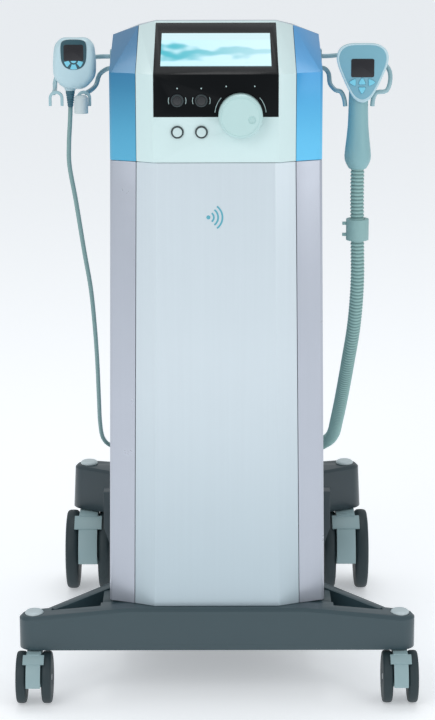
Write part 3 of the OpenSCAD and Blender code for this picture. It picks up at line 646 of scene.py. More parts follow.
@dataclass(frozen=True)
class BrushedFinish(Finish):
    """Metallic paint whose fine streaks run up the column."""

    def base(self, tree: Tree, place: Socket) -> object:
        """Adds faint upright streaks to the base colour."""
        plain = Finish.base(self, tree, place)
        mapping = tree.nodes.new("ShaderNodeMapping")
        mapping.inputs["Scale"].default_value = (240.0, 240.0, 3.0)
        tree.links.new(place, mapping.inputs["Vector"])
        streak = noise_node(tree, mapping.outputs[0], 1.0, 2.0)
        share = math_node(tree, "MULTIPLY", streak, 0.10)
        return mix_colour(tree, share, plain, (0.35, 0.40, 0.44))


@dataclass(frozen=True)
class RibbedFinish(Finish):
    """A corrugated skin: painted shade darkens the grooves between its ribs."""

    # Painted shade colour of the grooves between the ribs.
    groove_shade: Rgb = (0.10, 0.20, 0.20)

    def base(self, tree: Tree, place: Socket) -> object:
        """Paints shade in the grooves, where the mesh's rib attribute is low."""
        rib = tree.nodes.new("ShaderNodeAttribute")
        rib.attribute_name = "rib"
        return mix_colour(tree, rib.outputs["Fac"], self.groove_shade, self.colour)


# The fade darkens the base towards the rear: painted shade.
SLATE = Finish(
    "slate_paint", (0.036, 0.067, 0.080), 0.38, coat=0.15, grain=0.00006,
    fade=(0.024, 0.043, 0.053), fade_axis=1, fade_from=-0.05, fade_to=0.15,
)
CAP_GREY = Finish("cap_grey", (0.40, 0.50, 0.53), 0.4)
HUB_GREY = Finish("hub_grey", (0.30, 0.42, 0.44), 0.45)
TYRE = Finish("tyre_tread", (0.014, 0.030, 0.036), 0.55, grain=0.0001, grain_scale=900.0)
STEEL = Finish("turned_steel", (0.55, 0.57, 0.58), 0.28, metallic=1.0, grain=0.00002)
# The fade to a paler tone towards the top of the column is painted light.
PANEL = BrushedFinish(
    "column_paint", (0.50, 0.60, 0.655), 0.34, metallic=0.12, coat=0.25, drift=0.02,
    fade=(0.66, 0.74, 0.79), fade_from=0.12, fade_to=0.50,
)
SIDE_PAINT = BrushedFinish("cover_paint", (0.50, 0.56, 0.61), 0.4, coat=0.15)
STRIP = BrushedFinish("strip_metal", (0.50, 0.53, 0.60), 0.3, metallic=0.45, drift=0.02)
FASCIA = Finish("fascia_paint", (0.64, 0.80, 0.80), 0.36, coat=0.2, drift=0.02)
GLASS = Finish("black_glass", (0.003, 0.004, 0.005), 0.25, grain=0.000002, drift=0.01, shine=0.12)
# The left cheek's deeper blue is a painted-shade copy of the right cheek's blue; on both cheeks the paler fade
# towards the bottom is painted light.
BLUE_LEFT = Finish(
    "cheek_blue_left", (0.010, 0.155, 0.335), 0.34, metallic=0.2, coat=0.4,
    fade=(0.075, 0.40, 0.62), fade_from=0.88, fade_to=0.73,
)
BLUE_RIGHT = Finish(
    "cheek_blue_right", (0.022, 0.27, 0.60), 0.34, metallic=0.2, coat=0.4,
    fade=(0.11, 0.54, 0.86), fade_from=0.88, fade_to=0.73,
)
KNOB = Finish("knob_paint", (0.50, 0.70, 0.69), 0.34, coat=0.2)
DARK_BUTTON = Finish("dark_button", (0.012, 0.015, 0.018), 0.28, coat=0.3)
WHITE_BUTTON = Finish("white_button", (0.60, 0.74, 0.74), 0.3, coat=0.2)
RING = Finish("button_ring", (0.035, 0.05, 0.055), 0.35)
BOARD = Finish("board_green", (0.01, 0.09, 0.04), 0.45)
WIRE = Finish("cradle_paint", (0.34, 0.52, 0.57), 0.35, coat=0.2)
HAND = Finish("handpiece_plastic", (0.25, 0.46, 0.49), 0.38, coat=0.1)
HAND_PALE = Finish("pale_handpiece_plastic", (0.50, 0.68, 0.74), 0.38, coat=0.1)
SCREEN = Finish("screen_black", (0.005, 0.007, 0.010), 0.2, grain=0.000004, shine=0.15)
BEZEL = Finish("bezel_teal", (0.015, 0.075, 0.10), 0.32, coat=0.3)
# The faint glow on the keys is painted light; the keys are not lit.
KEY = Finish("key_cyan", (0.09, 0.42, 0.56), 0.4, glow=0.08)
RELIEF = Finish("relief_rubber", (0.06, 0.16, 0.21), 0.6, grain=0.00008)
FACE = Finish("face_blue", (0.066, 0.22, 0.29), 0.3, metallic=0.25, coat=0.3)
CABLE = Finish("cable_rubber", (0.22, 0.36, 0.36), 0.5, grain=0.00005)
# The hose's grooves get the painted groove shade of RibbedFinish.
HOSE = RibbedFinish("hose_rubber", (0.34, 0.56, 0.54), 0.5, grain=0.00005)
CLIP = Finish("clip_plastic", (0.27, 0.45, 0.45), 0.42)
BLACK_PART = Finish("black_plastic", (0.02, 0.024, 0.028), 0.42)
TANK = Finish("tank_plastic", (0.55, 0.66, 0.74), 0.35)
INNER_METAL = Finish("inner_metal", (0.42, 0.44, 0.45), 0.4, metallic=0.6)
MARK = Finish("mark_teal", (0.10, 0.40, 0.50), 0.35)
PRINT = Finish("pale_print", (0.45, 0.60, 0.60), 0.5)
PICTURE = PictureFinish("display_picture", (0.50, 0.75, 0.82), 0.3, shine=0.2, grain=0.000002, glow=0.30)


def place_piece(piece: Obj, finish: Finish, body: str) -> Obj:
    """Gives a piece its finish and body, and logs it.

    Args:
        piece: The finished mesh.
        finish: Its surface.
        body: The CAD body that it rides on.

    Returns:
        The same piece.
    """
    piece.data.materials.clear()
    piece.data.materials.append(finish.build())
    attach(piece, body)
    log.info("%s on %s: %s", piece.name, body, finish.name)
    return piece


def dress_soft(
    node: str, finish: Finish, body: str = "root", width: float = 0.8 * MM, steps: int = 3, angle: float = 28.0
) -> Obj:
    """Rounds a CAD node's edges and places the result.

    Args:
        node: CAD node name.
        finish: Its surface.
        body: The moving part it belongs to.
        width: Width of the rounding.
        steps: Facets across the rounding.
        angle: Edges sharper than this many degrees are rounded.

    Returns:
        The placed piece.
    """
    return place_piece(softened(node, width, steps, angle), finish, body)


def dress_node(node: str, finish: Finish) -> None:
    """Gives a CAD node that stays as it is a better surface."""
    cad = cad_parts[node]
    cad.data.materials.clear()
    cad.data.materials.append(finish.build())
    for face in cad.data.polygons:
        face.material_index = 0
    log.info("%s kept: %s", node, finish.name)


# --------------------------------------------------------------------------- geometry nodes


def new_geometry_tree(name: str, inputs: list[tuple[str, str, object]]) -> Tree:
    """Starts a geometry tree with a Geometry socket each way and named inputs."""
    tree = bpy.data.node_groups.new(name, "GeometryNodeTree")
    tree.interface.new_socket(name="Geometry", in_out="INPUT", socket_type="NodeSocketGeometry")
    for label, kind, value in inputs:
        socket = tree.interface.new_socket(name=label, in_out="INPUT", socket_type=kind)
        if value is not None:
            socket.default_value = value
    tree.interface.new_socket(name="Geometry", in_out="OUTPUT", socket_type="NodeSocketGeometry")
    return tree


def end_tree(tree: Tree, geometry: Socket, material: Material) -> None:
    """Ends a geometry tree in Realize Instances and Set Material."""
    real = tree.nodes.new("GeometryNodeRealizeInstances")
    paint = tree.nodes.new("GeometryNodeSetMaterial")
    paint.inputs["Material"].default_value = material
    end = tree.nodes.new("NodeGroupOutput")
    tree.links.new(geometry, real.inputs[0])
    tree.links.new(real.outputs[0], paint.inputs[0])
    tree.links.new(paint.outputs[0], end.inputs[0])


def run_tree(source: Obj, tree: Tree, values: dict[str, object], crease: float = 35.0) -> Obj:
    """Puts a geometry tree on an object, sets its inputs and bakes the result.

    Args:
        source: The object to start from.
        tree: The geometry tree.
        values: Input name to value.
        crease: Angle in degrees above which an edge stays sharp.

    Returns:
        The baked piece.
    """
    modifier = source.modifiers.new("build", "NODES")
    modifier.node_group = tree
    names = {s.name: s.identifier for s in tree.interface.items_tree if getattr(s, "in_out", "") == "INPUT"}
    for name, value in values.items():
        modifier[names[name]] = value
    return baked(source, crease)


def build_hose_tree(material: Material) -> Tree:
    """Sweeps a circle along the path, with a rib at every so many of its points."""
    tree = new_geometry_tree(
        "corrugated_hose",
        [
            ("Radius", "NodeSocketFloat", 0.009),
            ("Groove", "NodeSocketFloat", 0.0012),
            ("Steps Per Rib", "NodeSocketInt", 4),
            ("Sides", "NodeSocketInt", 20),
        ],
    )
    start = tree.nodes.new("NodeGroupInput")
    curve = tree.nodes.new("GeometryNodeMeshToCurve")
    tree.links.new(start.outputs["Geometry"], curve.inputs[0])
    index = tree.nodes.new("GeometryNodeInputIndex").outputs[0]
    phase = math_node(tree, "DIVIDE", index, start.outputs["Steps Per Rib"])
    angle = math_node(tree, "MULTIPLY", phase, 2 * math.pi)
    crest = math_node(tree, "MULTIPLY_ADD", math_node(tree, "COSINE", angle), 0.5, 0.5)
    crest = math_node(tree, "POWER", crest, 0.7)
    depth = math_node(tree, "MULTIPLY", math_node(tree, "SUBTRACT", 1.0, crest), start.outputs["Groove"])
    radius = math_node(tree, "SUBTRACT", start.outputs["Radius"], depth)
    # The stored rib crest share also drives the painted groove shade of the hose finish.
    store = tree.nodes.new("GeometryNodeStoreNamedAttribute")
    store.data_type = "FLOAT"
    store.domain = "POINT"
    store.inputs["Name"].default_value = "rib"
    tree.links.new(curve.outputs[0], store.inputs[0])
    tree.links.new(crest, store.inputs["Value"])
    ring = tree.nodes.new("GeometryNodeCurvePrimitiveCircle")
    ring.inputs["Radius"].default_value = 1.0
    tree.links.new(start.outputs["Sides"], ring.inputs["Resolution"])
    sweep = tree.nodes.new("GeometryNodeCurveToMesh")
    sweep.inputs["Fill Caps"].default_value = True
    tree.links.new(store.outputs[0], sweep.inputs["Curve"])
    tree.links.new(ring.outputs[0], sweep.inputs["Profile Curve"])
    if "Scale" in sweep.inputs:
        tree.links.new(radius, sweep.inputs["Scale"])
    end_tree(tree, sweep.outputs[0], material)
    return tree


def build_ring_tree(material: Material) -> Tree:
    """Sets a small torus at each point, scaled by that point's size."""
    tree = new_geometry_tree("stacked_rings", [("Ring", "NodeSocketObject", None)])
    start = tree.nodes.new("NodeGroupInput")
    info = tree.nodes.new("GeometryNodeObjectInfo")
    tree.links.new(start.outputs["Ring"], info.inputs["Object"])
    size = tree.nodes.new("GeometryNodeInputNamedAttribute")
    size.data_type = "FLOAT"
    size.inputs["Name"].default_value = "size"
    place = tree.nodes.new("GeometryNodeInstanceOnPoints")
    tree.links.new(start.outputs["Geometry"], place.inputs["Points"])
    tree.links.new(info.outputs["Geometry"], place.inputs["Instance"])
    tree.links.new(size.outputs["Attribute"], place.inputs["Scale"])
    end_tree(tree, place.outputs[0], material)
    return tree


def stamped(name: str, stamp: Obj, points: Points, sizes: list[float], finish: Finish) -> Obj:
    """Repeats one small mesh at many points.

    Args:
        name: Piece name.
        stamp: The small mesh, modelled about the origin; it is removed.
        points: Where each copy stands.
        sizes: Scale of each copy.
        finish: Surface of the copies.

    Returns:
        The baked piece.
    """
    mesh = bpy.data.meshes.new(name)
    mesh.from_pydata([tuple(p) for p in points], [], [])
    sized = mesh.attributes.new("size", "FLOAT", "POINT")
    sized.data.foreach_set("value", sizes)
    source = bpy.data.objects.new(name, mesh)
    bpy.context.scene.collection.objects.link(source)
    piece = run_tree(source, build_ring_tree(finish.build()), {"Ring": stamp})
    bpy.data.objects.remove(stamp)
    return piece


# --------------------------------------------------------------------------- studio


@dataclass
class Studio:
    """Pale floor, soft lights and the camera.

    Args:
        distance: From the origin to the camera along Y, in metres.
        height: Camera height.
        tilt: Degrees below level.
        roll: Degrees of roll.
        focal: Focal length in millimetres on a 36 mm long side.
    """

    distance: float = 3.125
    height: float = 1.191
    tilt: float = 14.0
    roll: float = 0.116
    focal: float = 114.7
    side: float = 0.0013

    def build_camera(self) -> None:
        """Makes the camera and sets it as the scene's."""
        data = bpy.data.cameras.new("studio_camera")
        data.lens = self.focal
        data.sensor_width = 36.0
        camera = bpy.data.objects.new("studio_camera", data)
        camera.location = (self.side, -self.distance, self.height)
        aim = Euler((math.radians(90 - self.tilt), 0, 0)).to_matrix()
        turn = Matrix.Rotation(math.radians(-self.roll), 3, "Z")
        camera.rotation_euler = (aim @ turn).to_euler()
        bpy.context.scene.collection.objects.link(camera)
        bpy.context.scene.camera = camera

    def build_floor(self) -> None:
        """Lays the pale floor."""
        mesh = bpy.data.meshes.new("studio_floor")
        reach = 30.0
        corners = [(-reach, -reach, 0), (reach, -reach, 0), (reach, reach, 0), (-reach, reach, 0)]
        mesh.from_pydata(corners, [], [[0, 1, 2, 3]])
        floor = bpy.data.objects.new("studio_floor", mesh)
        bpy.context.scene.collection.objects.link(floor)
        material = bpy.data.materials.new("floor_paint")
        material.use_nodes = True
        shader = material.node_tree.nodes["Principled BSDF"]
        shader.inputs["Base Color"].default_value = (0.86, 0.87, 0.88, 1)
        shader.inputs["Roughness"].default_value = 0.8
        shader.inputs["Emission Color"].default_value = (0.95, 0.97, 1.0, 1)
        shader.inputs["Emission Strength"].default_value = 0.35
        mesh.materials.append(material)

    def add_light(self, name: str, at: tuple[float, float, float], size: float, power: float) -> None:
        """Adds a square soft light that looks at the middle of the trolley."""
        data = bpy.data.lights.new(name, "AREA")
        data.size = size
        data.energy = power
        lamp = bpy.data.objects.new(name, data)
        lamp.location = at
        lamp.rotation_euler = (Vector((0, 0, 0.5)) - Vector(at)).to_track_quat("-Z", "Y").to_euler()
        bpy.context.scene.collection.objects.link(lamp)

    def build_lights(self) -> None:
        """Adds the studio lights and the bright surround."""
        world = bpy.data.worlds.new("surround")
        bpy.context.scene.world = world
        world.use_nodes = True
        background = world.node_tree.nodes["Background"]
        background.inputs["Color"].default_value = (0.93, 0.97, 1.0, 1)
        background.inputs["Strength"].default_value = 0.58
        self.add_light("key", (-1.6, -2.6, 2.2), 1.6, 22)
        self.add_light("fill", (2.2, -2.2, 1.6), 1.8, 15)
        self.add_light("top", (0, 0.6, 3.0), 1.6, 16)
        bpy.context.scene.view_settings.view_transform = "Standard"

    def build(self) -> None:
        """Builds the whole studio."""
        self.build_camera()
        self.build_floor()
        self.build_lights()


# --------------------------------------------------------------------------- cords


@dataclass
class Cords:
    """The thin cable on the left and the corrugated hose on the right.

    Args:
        cable_diameter: Cable diameter in metres.
        hose_diameter: Hose diameter in metres.
    """

    cable_diameter: float = 0.006
    hose_diameter: float = 0.018
    cable_route: Route = field(
        default_factory=lambda: [
            (-190, -138, 787), (-191, -138, 768), (-193, -136, 738), (-193, -131, 708),
            (-186, -122, 660), (-177, -108, 590), (-170, -90, 535), (-167, -65, 480),
            (-166, -30, 420), (-167, 20, 350), (-168, 60, 305), (-166, 100, 270), (-155, 140, 246),
            (-130, 165, 232), (-100, 176, 238), (-80, 180, 270), (-74, 180, 330), (-72, 178, 420),
            (-70, 176, 510), (-66, 174, 590), (-54, 172, 625), (-38, 170, 634), (-24, 168, 622),
            (-16, 168, 580), (-14, 168, 500), (-14, 168, 430), (-20, 174, 392), (-36, 180, 364),
            (-53, 174, 352), (-60, 158, 350), (-60, 140, 350),
        ]
    )
    hose_route: Route = field(
        default_factory=lambda: [
            (186, -136, 705), (186, -136, 665), (187, -136, 610), (188, -130, 550),
            (185.5, -112, 490), (180, -78, 430), (175, -30, 370), (171, 25, 318), (168, 80, 280),
            (157, 135, 252), (124, 180, 224), (77, 198, 212), (30, 204, 222), (0, 206, 252), (-13, 206, 300),
            (-13, 206, 370), (-13, 206, 450), (-12, 206, 520), (8, 208, 572), (60, 216, 595),
            (112, 224, 573), (134, 228, 520), (126, 228, 462), (100, 220, 414), (80, 194, 382),
            (75, 168, 370), (75, 150, 368),
        ]
    )

    def line_object(self, name: str, path: Points) -> Obj:
        """A mesh of edges along a path."""
        mesh = bpy.data.meshes.new(name)
        mesh.from_pydata([tuple(p) for p in path], [[i, i + 1] for i in range(len(path) - 1)], [])
        line = bpy.data.objects.new(name, mesh)
        bpy.context.scene.collection.objects.link(line)
        return line

    def build_cable(self) -> None:
        path = smooth_route(self.cable_route, 4 * MM)
        radii = [self.cable_diameter / 2] * len(path)
        cable = loft("handpiece_cable", tube_rings(path, radii, 14))
        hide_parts("left_cable")
        place_piece(cable, CABLE, "root")
        cable.parent = None
        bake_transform(cable)

    def build_hose(self) -> None:
        path = smooth_route(self.hose_route, 1.2 * MM)
        tree = build_hose_tree(HOSE.build())
        crest = self.hose_diameter / 2 + 0.4 * MM
        values = {"Radius": crest, "Groove": 1.6 * MM, "Steps Per Rib": 4, "Sides": 20}
        hose = run_tree(self.line_object("handpiece_hose", path), tree, values, 80.0)
        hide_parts("right_hose")
        place_piece(hose, HOSE, "root")
        hose.parent = None
        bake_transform(hose)

    def build(self) -> None:
        """Builds both cords and dresses their plugs."""
        cable_plug = dress_soft("cable_plug", RELIEF, width=1.2 * MM)
        hose_plug = dress_soft("hose_plug", RELIEF, width=1.2 * MM)
        clip = dress_soft("hose_clip", CLIP, width=1.2 * MM)
        clip.parent = None
        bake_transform(clip)
        self.build_cable()
        self.build_hose()
        dress_soft("cord_hanger", BLACK_PART, width=0.8 * MM)


# --------------------------------------------------------------------------- base


@dataclass
class Castor:
    """One twin-wheel castor.

    Args:
        corner: "fl", "fr", "rl" or "rr".
    """

    corner: str

    def wheel_profile(self, r: float, w: float) -> Pairs:
        """Section of a twin wheel: hub boss, dished face, rim step and rounded tread."""
        half = w / 2
        shares = [
            (0.0, 0.80), (0.10, 0.80), (0.13, 0.62), (0.20, 0.66), (0.40, 0.86), (0.58, 0.97), (0.70, 1.0),
            (0.735, 0.985), (0.745, 0.90), (0.765, 0.90), (0.775, 0.98), (0.86, 0.96), (0.93, 0.90),
            (0.965, 0.80), (0.988, 0.62), (0.998, 0.35),
        ]
        face = sized(shares, r, half)
        return [(a, -b) for a, b in face] + [(r, 0.0)] + list(reversed(face))

    def build(self) -> None:
        """Builds the wheels, fork and axle of this castor."""
        node = f"castor_wheels_{self.corner}"
        box = NodeBox(node)
        r = box.size.z / 2
        width = 14 * MM if self.corner.startswith("f") else 20 * MM
        parts = []
        for s in (-1, 1):
            at = Vector((box.mid.x + s * (box.size.x / 2 - width / 2), box.mid.y, box.mid.z))
            parts.append(lathe(f"wheel_{s}", self.wheel_profile(r, width), at, Axis.RIGHT, 96))
        wheels = joined(f"{node}_finished", parts)
        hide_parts(node)
        place_piece(wheels, TYRE, f"castor_{self.corner}_wheels")
        dress_soft(f"castor_fork_{self.corner}", HUB_GREY, f"castor_{self.corner}_swivel", 1.0 * MM)
        dress_node(f"castor_axle_{self.corner}", STEEL)


@dataclass
class Base:
    """Cast base, its arm caps and the four castors."""

    corners: tuple[str, ...] = ("fl", "fr", "rl", "rr")

    def build(self) -> None:
        """Builds the base."""
        dress_soft("base_front_beam", SLATE, "root", 2.2 * MM, 3, 24.0)
        dress_soft("base_frame", SLATE, "root", 2.2 * MM, 3, 24.0)
        place_piece(self.caps(), CAP_GREY, "root")
        for corner in self.corners:
            Castor(corner).build()

    def caps(self) -> Obj:
        """Low domed caps over the castor stems."""
        box = NodeBox("arm_caps")
        parts = []
        for corner in self.corners:
            fork = NodeBox(f"castor_fork_{corner}")
            rear = corner.startswith("r")
            r = (13 if rear else 12.5) * MM
            y = box.hi.y - 13 * MM if rear else box.lo.y + 12.5 * MM
            z = box.hi.z - 5 * MM if rear else box.lo.z
            profile = [
                (0.0, 0.0), (r * 0.96, 0.0), (r, 0.6 * MM), (r, 2.2 * MM), (r * 0.96, 3.0 * MM),
                (r * 0.84, 4.4 * MM), (r * 0.78, 4.8 * MM), (r * 0.70, 5.0 * MM), (0.0, 5.0 * MM),
            ]
            parts.append(lathe(f"cap_{corner}", profile, Vector((fork.mid.x, y, z)), Axis.UP, 48))
        caps = joined("arm_caps_finished", parts)
        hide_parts("arm_caps")
        return caps


# --------------------------------------------------------------------------- column


@dataclass
class Column:
    """Column covers, rear service panel and what they hold."""

    screw_radius: float = 3.0 * MM

    def mark(self) -> Obj:
        """A plain mark of three nested arcs printed on the front panel."""
        front = NodeBox("column_front_panel")
        at = Vector((-0.010, front.lo.y, front.hi.z - 0.070))
        parts = []
        for k in range(3):
            r = (7.0 + 5.5 * k) * MM
            parts.append(printed_arc(f"arc_{k}", at, r, (-52, 52), 1.1 * MM, 0.3 * MM, 0.2 * MM))
        dot = in_mm([(0.0, -0.2), (2.6, -0.2), (2.6, 0.3), (0.0, 0.3)])
        parts.append(lathe("dot", dot, at, Axis.FRONT, 32))
        return joined("front_mark", parts)

    def screws(self) -> Obj:
        """Button-head screws down both edges of the service panel."""
        box = NodeBox("rear_panel")
        r = self.screw_radius
        profile = [
            (r, 0.0), (r, 0.35 * r), (r * 0.85, 0.62 * r), (r * 0.55, 0.78 * r), (r * 0.42, 0.8 * r),
            (r * 0.40, 0.35 * r), (0.0, 0.35 * r),
        ]
        stamp = lathe("screw_stamp", profile, Vector((0, 0, 0)), Axis.BACK, 20)
        points = []
        rows = 6
        y = NodeBox("side_covers").hi.y
        for row in range(rows):
            share = row / (rows - 1)
            z = box.lo.z + 0.02 + share * (box.size.z - 0.04)
            x = box.size.x / 2 - 0.009 - 0.008 * share
            points += [Vector((x, y, z)), Vector((-x, y, z))]
        return stamped("panel_screws", stamp, points, [1.0] * len(points), STEEL)

    def build(self) -> None:
        """Builds the column."""
        dress_soft("column_front_panel", PANEL, "root", 1.0 * MM, 3, 5.0)
        dress_soft("corner_strips", STRIP, "root", 0.9 * MM, 3, 12.0)
        dress_soft("side_covers", SIDE_PAINT, width=1.2 * MM)
        dress_soft("rear_panel", BLACK_PART, "root", 0.5 * MM, 2)
        place_piece(self.mark(), MARK, "root")
        place_piece(self.screws(), STEEL, "root")
        inner = {
            "inner_frame": INNER_METAL, "power_supply": INNER_METAL, "generator_board": BOARD,
            "cooling_unit": TANK, "cooling_fan": BLACK_PART, "power_switch": BLACK_PART,
        }
        for node, finish in inner.items():
            dress_node(node, finish)


# --------------------------------------------------------------------------- head


@dataclass
class Head:
    """Control head: fascia, glass, display, knob, buttons and covers."""

    knob_arc: float = 32.5 * MM

    def knob(self) -> Obj:
        """Broad knob with a rounded rim and a finger dimple."""
        box = NodeBox("control_knob")
        r = box.size.x / 2
        face = box.lo.y
        back = NodeBox("head_fascia").lo.y - 1.2 * MM
        depth = back - face
        at = Vector((box.mid.x, back, box.mid.z))
        rim = [(0, 3.6), (0.3, 3.0), (2.3, 0.5), (2.7, 0.2), (3.2, 0.1), (3.6, 0.5), (4.0, 0.5), (4.4, 0.1)]
        profile = [(0.0, 0.0), (r - 0.6 * MM, 0.0), (r, 0.8 * MM)]
        profile += [(r - a, depth - b) for a, b in in_mm(rim)]
        profile += [(r * share, depth) for share in (0.8, 0.5, 0.0)]
        knob = lathe("knob_body", profile, at, Axis.FRONT, 96)
        ball = 5.6 * MM
        cutter = lathe(
            "dimple_cutter",
            [(ball * math.sin(a), -ball * math.cos(a)) for a in (math.radians(d) for d in range(0, 181, 6))],
            Vector((at.x + 14.5 * MM, face - 2.4 * MM, at.z - 4 * MM)),
            Axis.FRONT,
            48,
        )
        cut = knob.modifiers.new("dimple", "BOOLEAN")
        cut.operation = "DIFFERENCE"
        cut.solver = "EXACT"
        cut.object = cutter
        knob.name = "control_knob_finished"
        knob = baked(knob, 40.0)
        bpy.data.objects.remove(cutter)
        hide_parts("control_knob")
        return knob

    def dot(self, at: Vector) -> Obj:
        """A small printed dot on the glass."""
        return lathe("dot", in_mm([(0.0, -0.1), (0.9, -0.1), (0.9, 0.25), (0.0, 0.25)]), at, Axis.FRONT, 16)

    def prints(self) -> Obj:
        """Printed arcs round the knob and the ring buttons, and small dots over them."""
        glass_y = NodeBox("control_glass").lo.y
        knob = NodeBox("control_knob").mid
        parts = []
        at = Vector((knob.x, glass_y, knob.z))
        for start, end in ((5, 42), (138, 175)):
            parts.append(printed_arc("knob_arc", at, self.knob_arc, (start, end), 0.35 * MM, 0.25 * MM, 0.1 * MM))
        for node in ("button_upper_left", "button_upper_right"):
            mid = NodeBox(node).mid
            at = Vector((mid.x, glass_y, mid.z))
            for start in (-22, 158):
                span = (start, start + 44)
                parts.append(printed_arc("ring_arc", at, 11.2 * MM, span, 0.3 * MM, 0.25 * MM, 0.1 * MM))
            parts.append(self.dot(Vector((mid.x, glass_y, mid.z + 15.5 * MM))))
        for dx in (-18, 18):
            parts.append(self.dot(Vector((knob.x + dx * MM, glass_y, knob.z + 36 * MM))))
        return joined("glass_prints", parts)

    def build(self) -> None:
        """Builds the head."""
        dress_soft("head_fascia", FASCIA, "root", 0.9 * MM, 3, 5.0)
        dress_soft("control_glass", GLASS, "root", 0.3 * MM, 2, 5.0)
        dress_node("display_screen", PICTURE)
        dress_soft("cheek_left", BLUE_LEFT, "root", 1.4 * MM, 3, 9.0)
        dress_soft("cheek_right", BLUE_RIGHT, "root", 1.4 * MM, 3, 9.0)
        dress_soft("head_rear_cover", SIDE_PAINT, "root", 3.0 * MM, 3, 14.0)
        place_piece(self.knob(), KNOB, "knob")
        dress_node("control_board", BOARD)
        dress_soft("button_rings", RING, "root", 0.4 * MM, 2)
        tones = {"upper": DARK_BUTTON, "lower": WHITE_BUTTON}
        for row, finish in tones.items():
            for side in ("left", "right"):
                node = f"button_{row}_{side}"
                dress_soft(node, finish, node, 0.5 * MM)
        place_piece(self.prints(), PRINT, "root")


# --------------------------------------------------------------------------- handpieces


@dataclass
class LeftHandpiece:
    """Small handpiece with a lit screen, keys and a spare tip on the cradle's hook."""

    body: str = "left_handpiece"

    def shell(self) -> Obj:
        """Rounded block that swells towards the middle of its depth."""
        box = NodeBox("left_handpiece_shell")
        w, mid = box.size.x, box.mid
        top = box.hi.z
        bottom = box.lo.z + 2 * MM
        h = top - bottom
        at = Vector((mid.x, 0, bottom + h / 2))
        outline = [
            (0.0, 0.5), (0.27, 0.497), (0.40, 0.42), (0.46, 0.33), (0.49, 0.15), (0.50, -0.08), (0.47, -0.26),
            (0.33, -0.42), (0.18, -0.495), (0.0, -0.5), (-0.18, -0.495), (-0.33, -0.42), (-0.47, -0.26),
            (-0.50, -0.08), (-0.49, 0.15), (-0.46, 0.33), (-0.40, 0.42), (-0.27, 0.497),
        ]
        ring = [(x * w, z * h) for x, z in closed_outline(outline, 96)]
        stations = [
            (0.0, 0.70), (0.02, 0.82), (0.08, 0.92), (0.2, 0.98), (0.45, 1.0), (0.7, 0.99), (0.86, 0.94),
            (0.94, 0.88), (0.985, 0.80), (1.0, 0.72),
        ]
        y0, y1 = box.lo.y + 0.6 * MM, box.hi.y
        rings = [
            [Vector((at.x + x * k, y0 + (y1 - y0) * share, at.z + z * k)) for x, z in ring]
            for share, k in stations
        ]
        relief = NodeBox("left_strain_relief")
        gland = lathe(
            "gland",
            in_mm([(0.0, 0.0), (6.6, 0.0), (7.0, 0.5), (8.4, 6.0), (9.0, 11.0), (0.0, 12.0)]),
            Vector((relief.mid.x, relief.mid.y, relief.hi.z + 0.4 * MM)),
            Axis.UP,
            40,
        )
        body = loft("shell_body", rings, 50.0)
        shell = joined("left_handpiece_shell_finished", [body, gland], 50.0)
        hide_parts("left_handpiece_shell")
        return shell

    def bezel(self) -> Obj:
        """Dark U-shaped surround of the screen and keys."""
        shell = NodeBox("left_handpiece_shell")
        screen = NodeBox("left_handpiece_screen")
        outline = [
            (0.0, 21), (9, 20.6), (14.5, 18.5), (16.5, 14), (16.8, 4), (15.4, -8), (10, -15.5), (0, -18),
            (-10, -15.5), (-15.4, -8), (-16.8, 4), (-16.5, 14), (-14.5, 18.5), (-9, 20.6),
        ]
        shape = in_mm(closed_outline(outline, 64))
        at = Vector((screen.mid.x, 0, screen.mid.z - 4 * MM))
        return plate("left_bezel", shape, at, shell.lo.y - 0.4 * MM, shell.lo.y + 2.6 * MM, 1.0 * MM)

    def screen(self) -> Obj:
        """Black screen window."""
        box = NodeBox("left_handpiece_screen")
        shell = NodeBox("left_handpiece_shell")
        shape = rounded_box(12.8 * MM, 10.5 * MM, 2.5 * MM)
        front = shell.lo.y - 0.8 * MM
        piece = plate("left_screen_window", shape, box.mid, front, front + 2.4 * MM, 0.4 * MM)
        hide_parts("left_handpiece_screen")
        return piece

    def keys(self) -> Obj:
        """Crescent keypad under the screen: three keys round a middle one."""
        box = NodeBox("left_handpiece_keypad")
        shell = NodeBox("left_handpiece_shell")
        front = shell.lo.y - 0.9 * MM
        parts = []
        for angle, length in ((-150, 36), (-90, 44), (-30, 36)):
            outer, inner = 12.5, 6.2
            points = []
            steps = 6
            for rr, order in ((outer, range(steps + 1)), (inner, range(steps, -1, -1))):
                for k in order:
                    a = math.radians(angle - length / 2 + length * k / steps)
                    points.append((rr * MM * math.cos(a), (rr * math.sin(a) + 5.0) * MM))
            at = Vector((box.mid.x, 0, box.mid.z + 3 * MM))
            parts.append(plate(f"key_{angle}", points, at, front, front + 2 * MM, 0.3 * MM))
        disc = in_mm([(0.0, 0.0), (4.2, 0.0), (4.2, 1.2), (3.6, 1.7), (0.0, 1.9)])
        at = Vector((box.mid.x, front + 2 * MM, box.mid.z + 7.6 * MM))
        parts.append(lathe("middle_key", disc, at, Axis.FRONT, 32))
        pad = joined("left_keypad_finished", parts)
        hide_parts("left_handpiece_keypad")
        return pad

    def relief(self) -> Obj:
        """Tapered strain relief with raised rings."""
        box = NodeBox("left_strain_relief")
        h = box.size.z
        profile = [(0.0, 0.0), (3.4 * MM, 0.0)]
        rings = 5
        for k in range(rings):
            low = h * (0.06 + 0.15 * k)
            r = (3.9 + 0.38 * k) * MM
            dip = r - 0.5 * MM
            profile += [(dip, low), (r, low + 0.4 * MM), (r, low + 2.0 * MM), (dip, low + 2.4 * MM)]
        profile += [(5.9 * MM, h * 0.82), (6.0 * MM, h), (0.0, h)]
        at = Vector((box.mid.x, box.mid.y, box.lo.z))
        relief = lathe("left_strain_relief_finished", profile, at, Axis.UP, 36)
        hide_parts("left_strain_relief")
        return relief

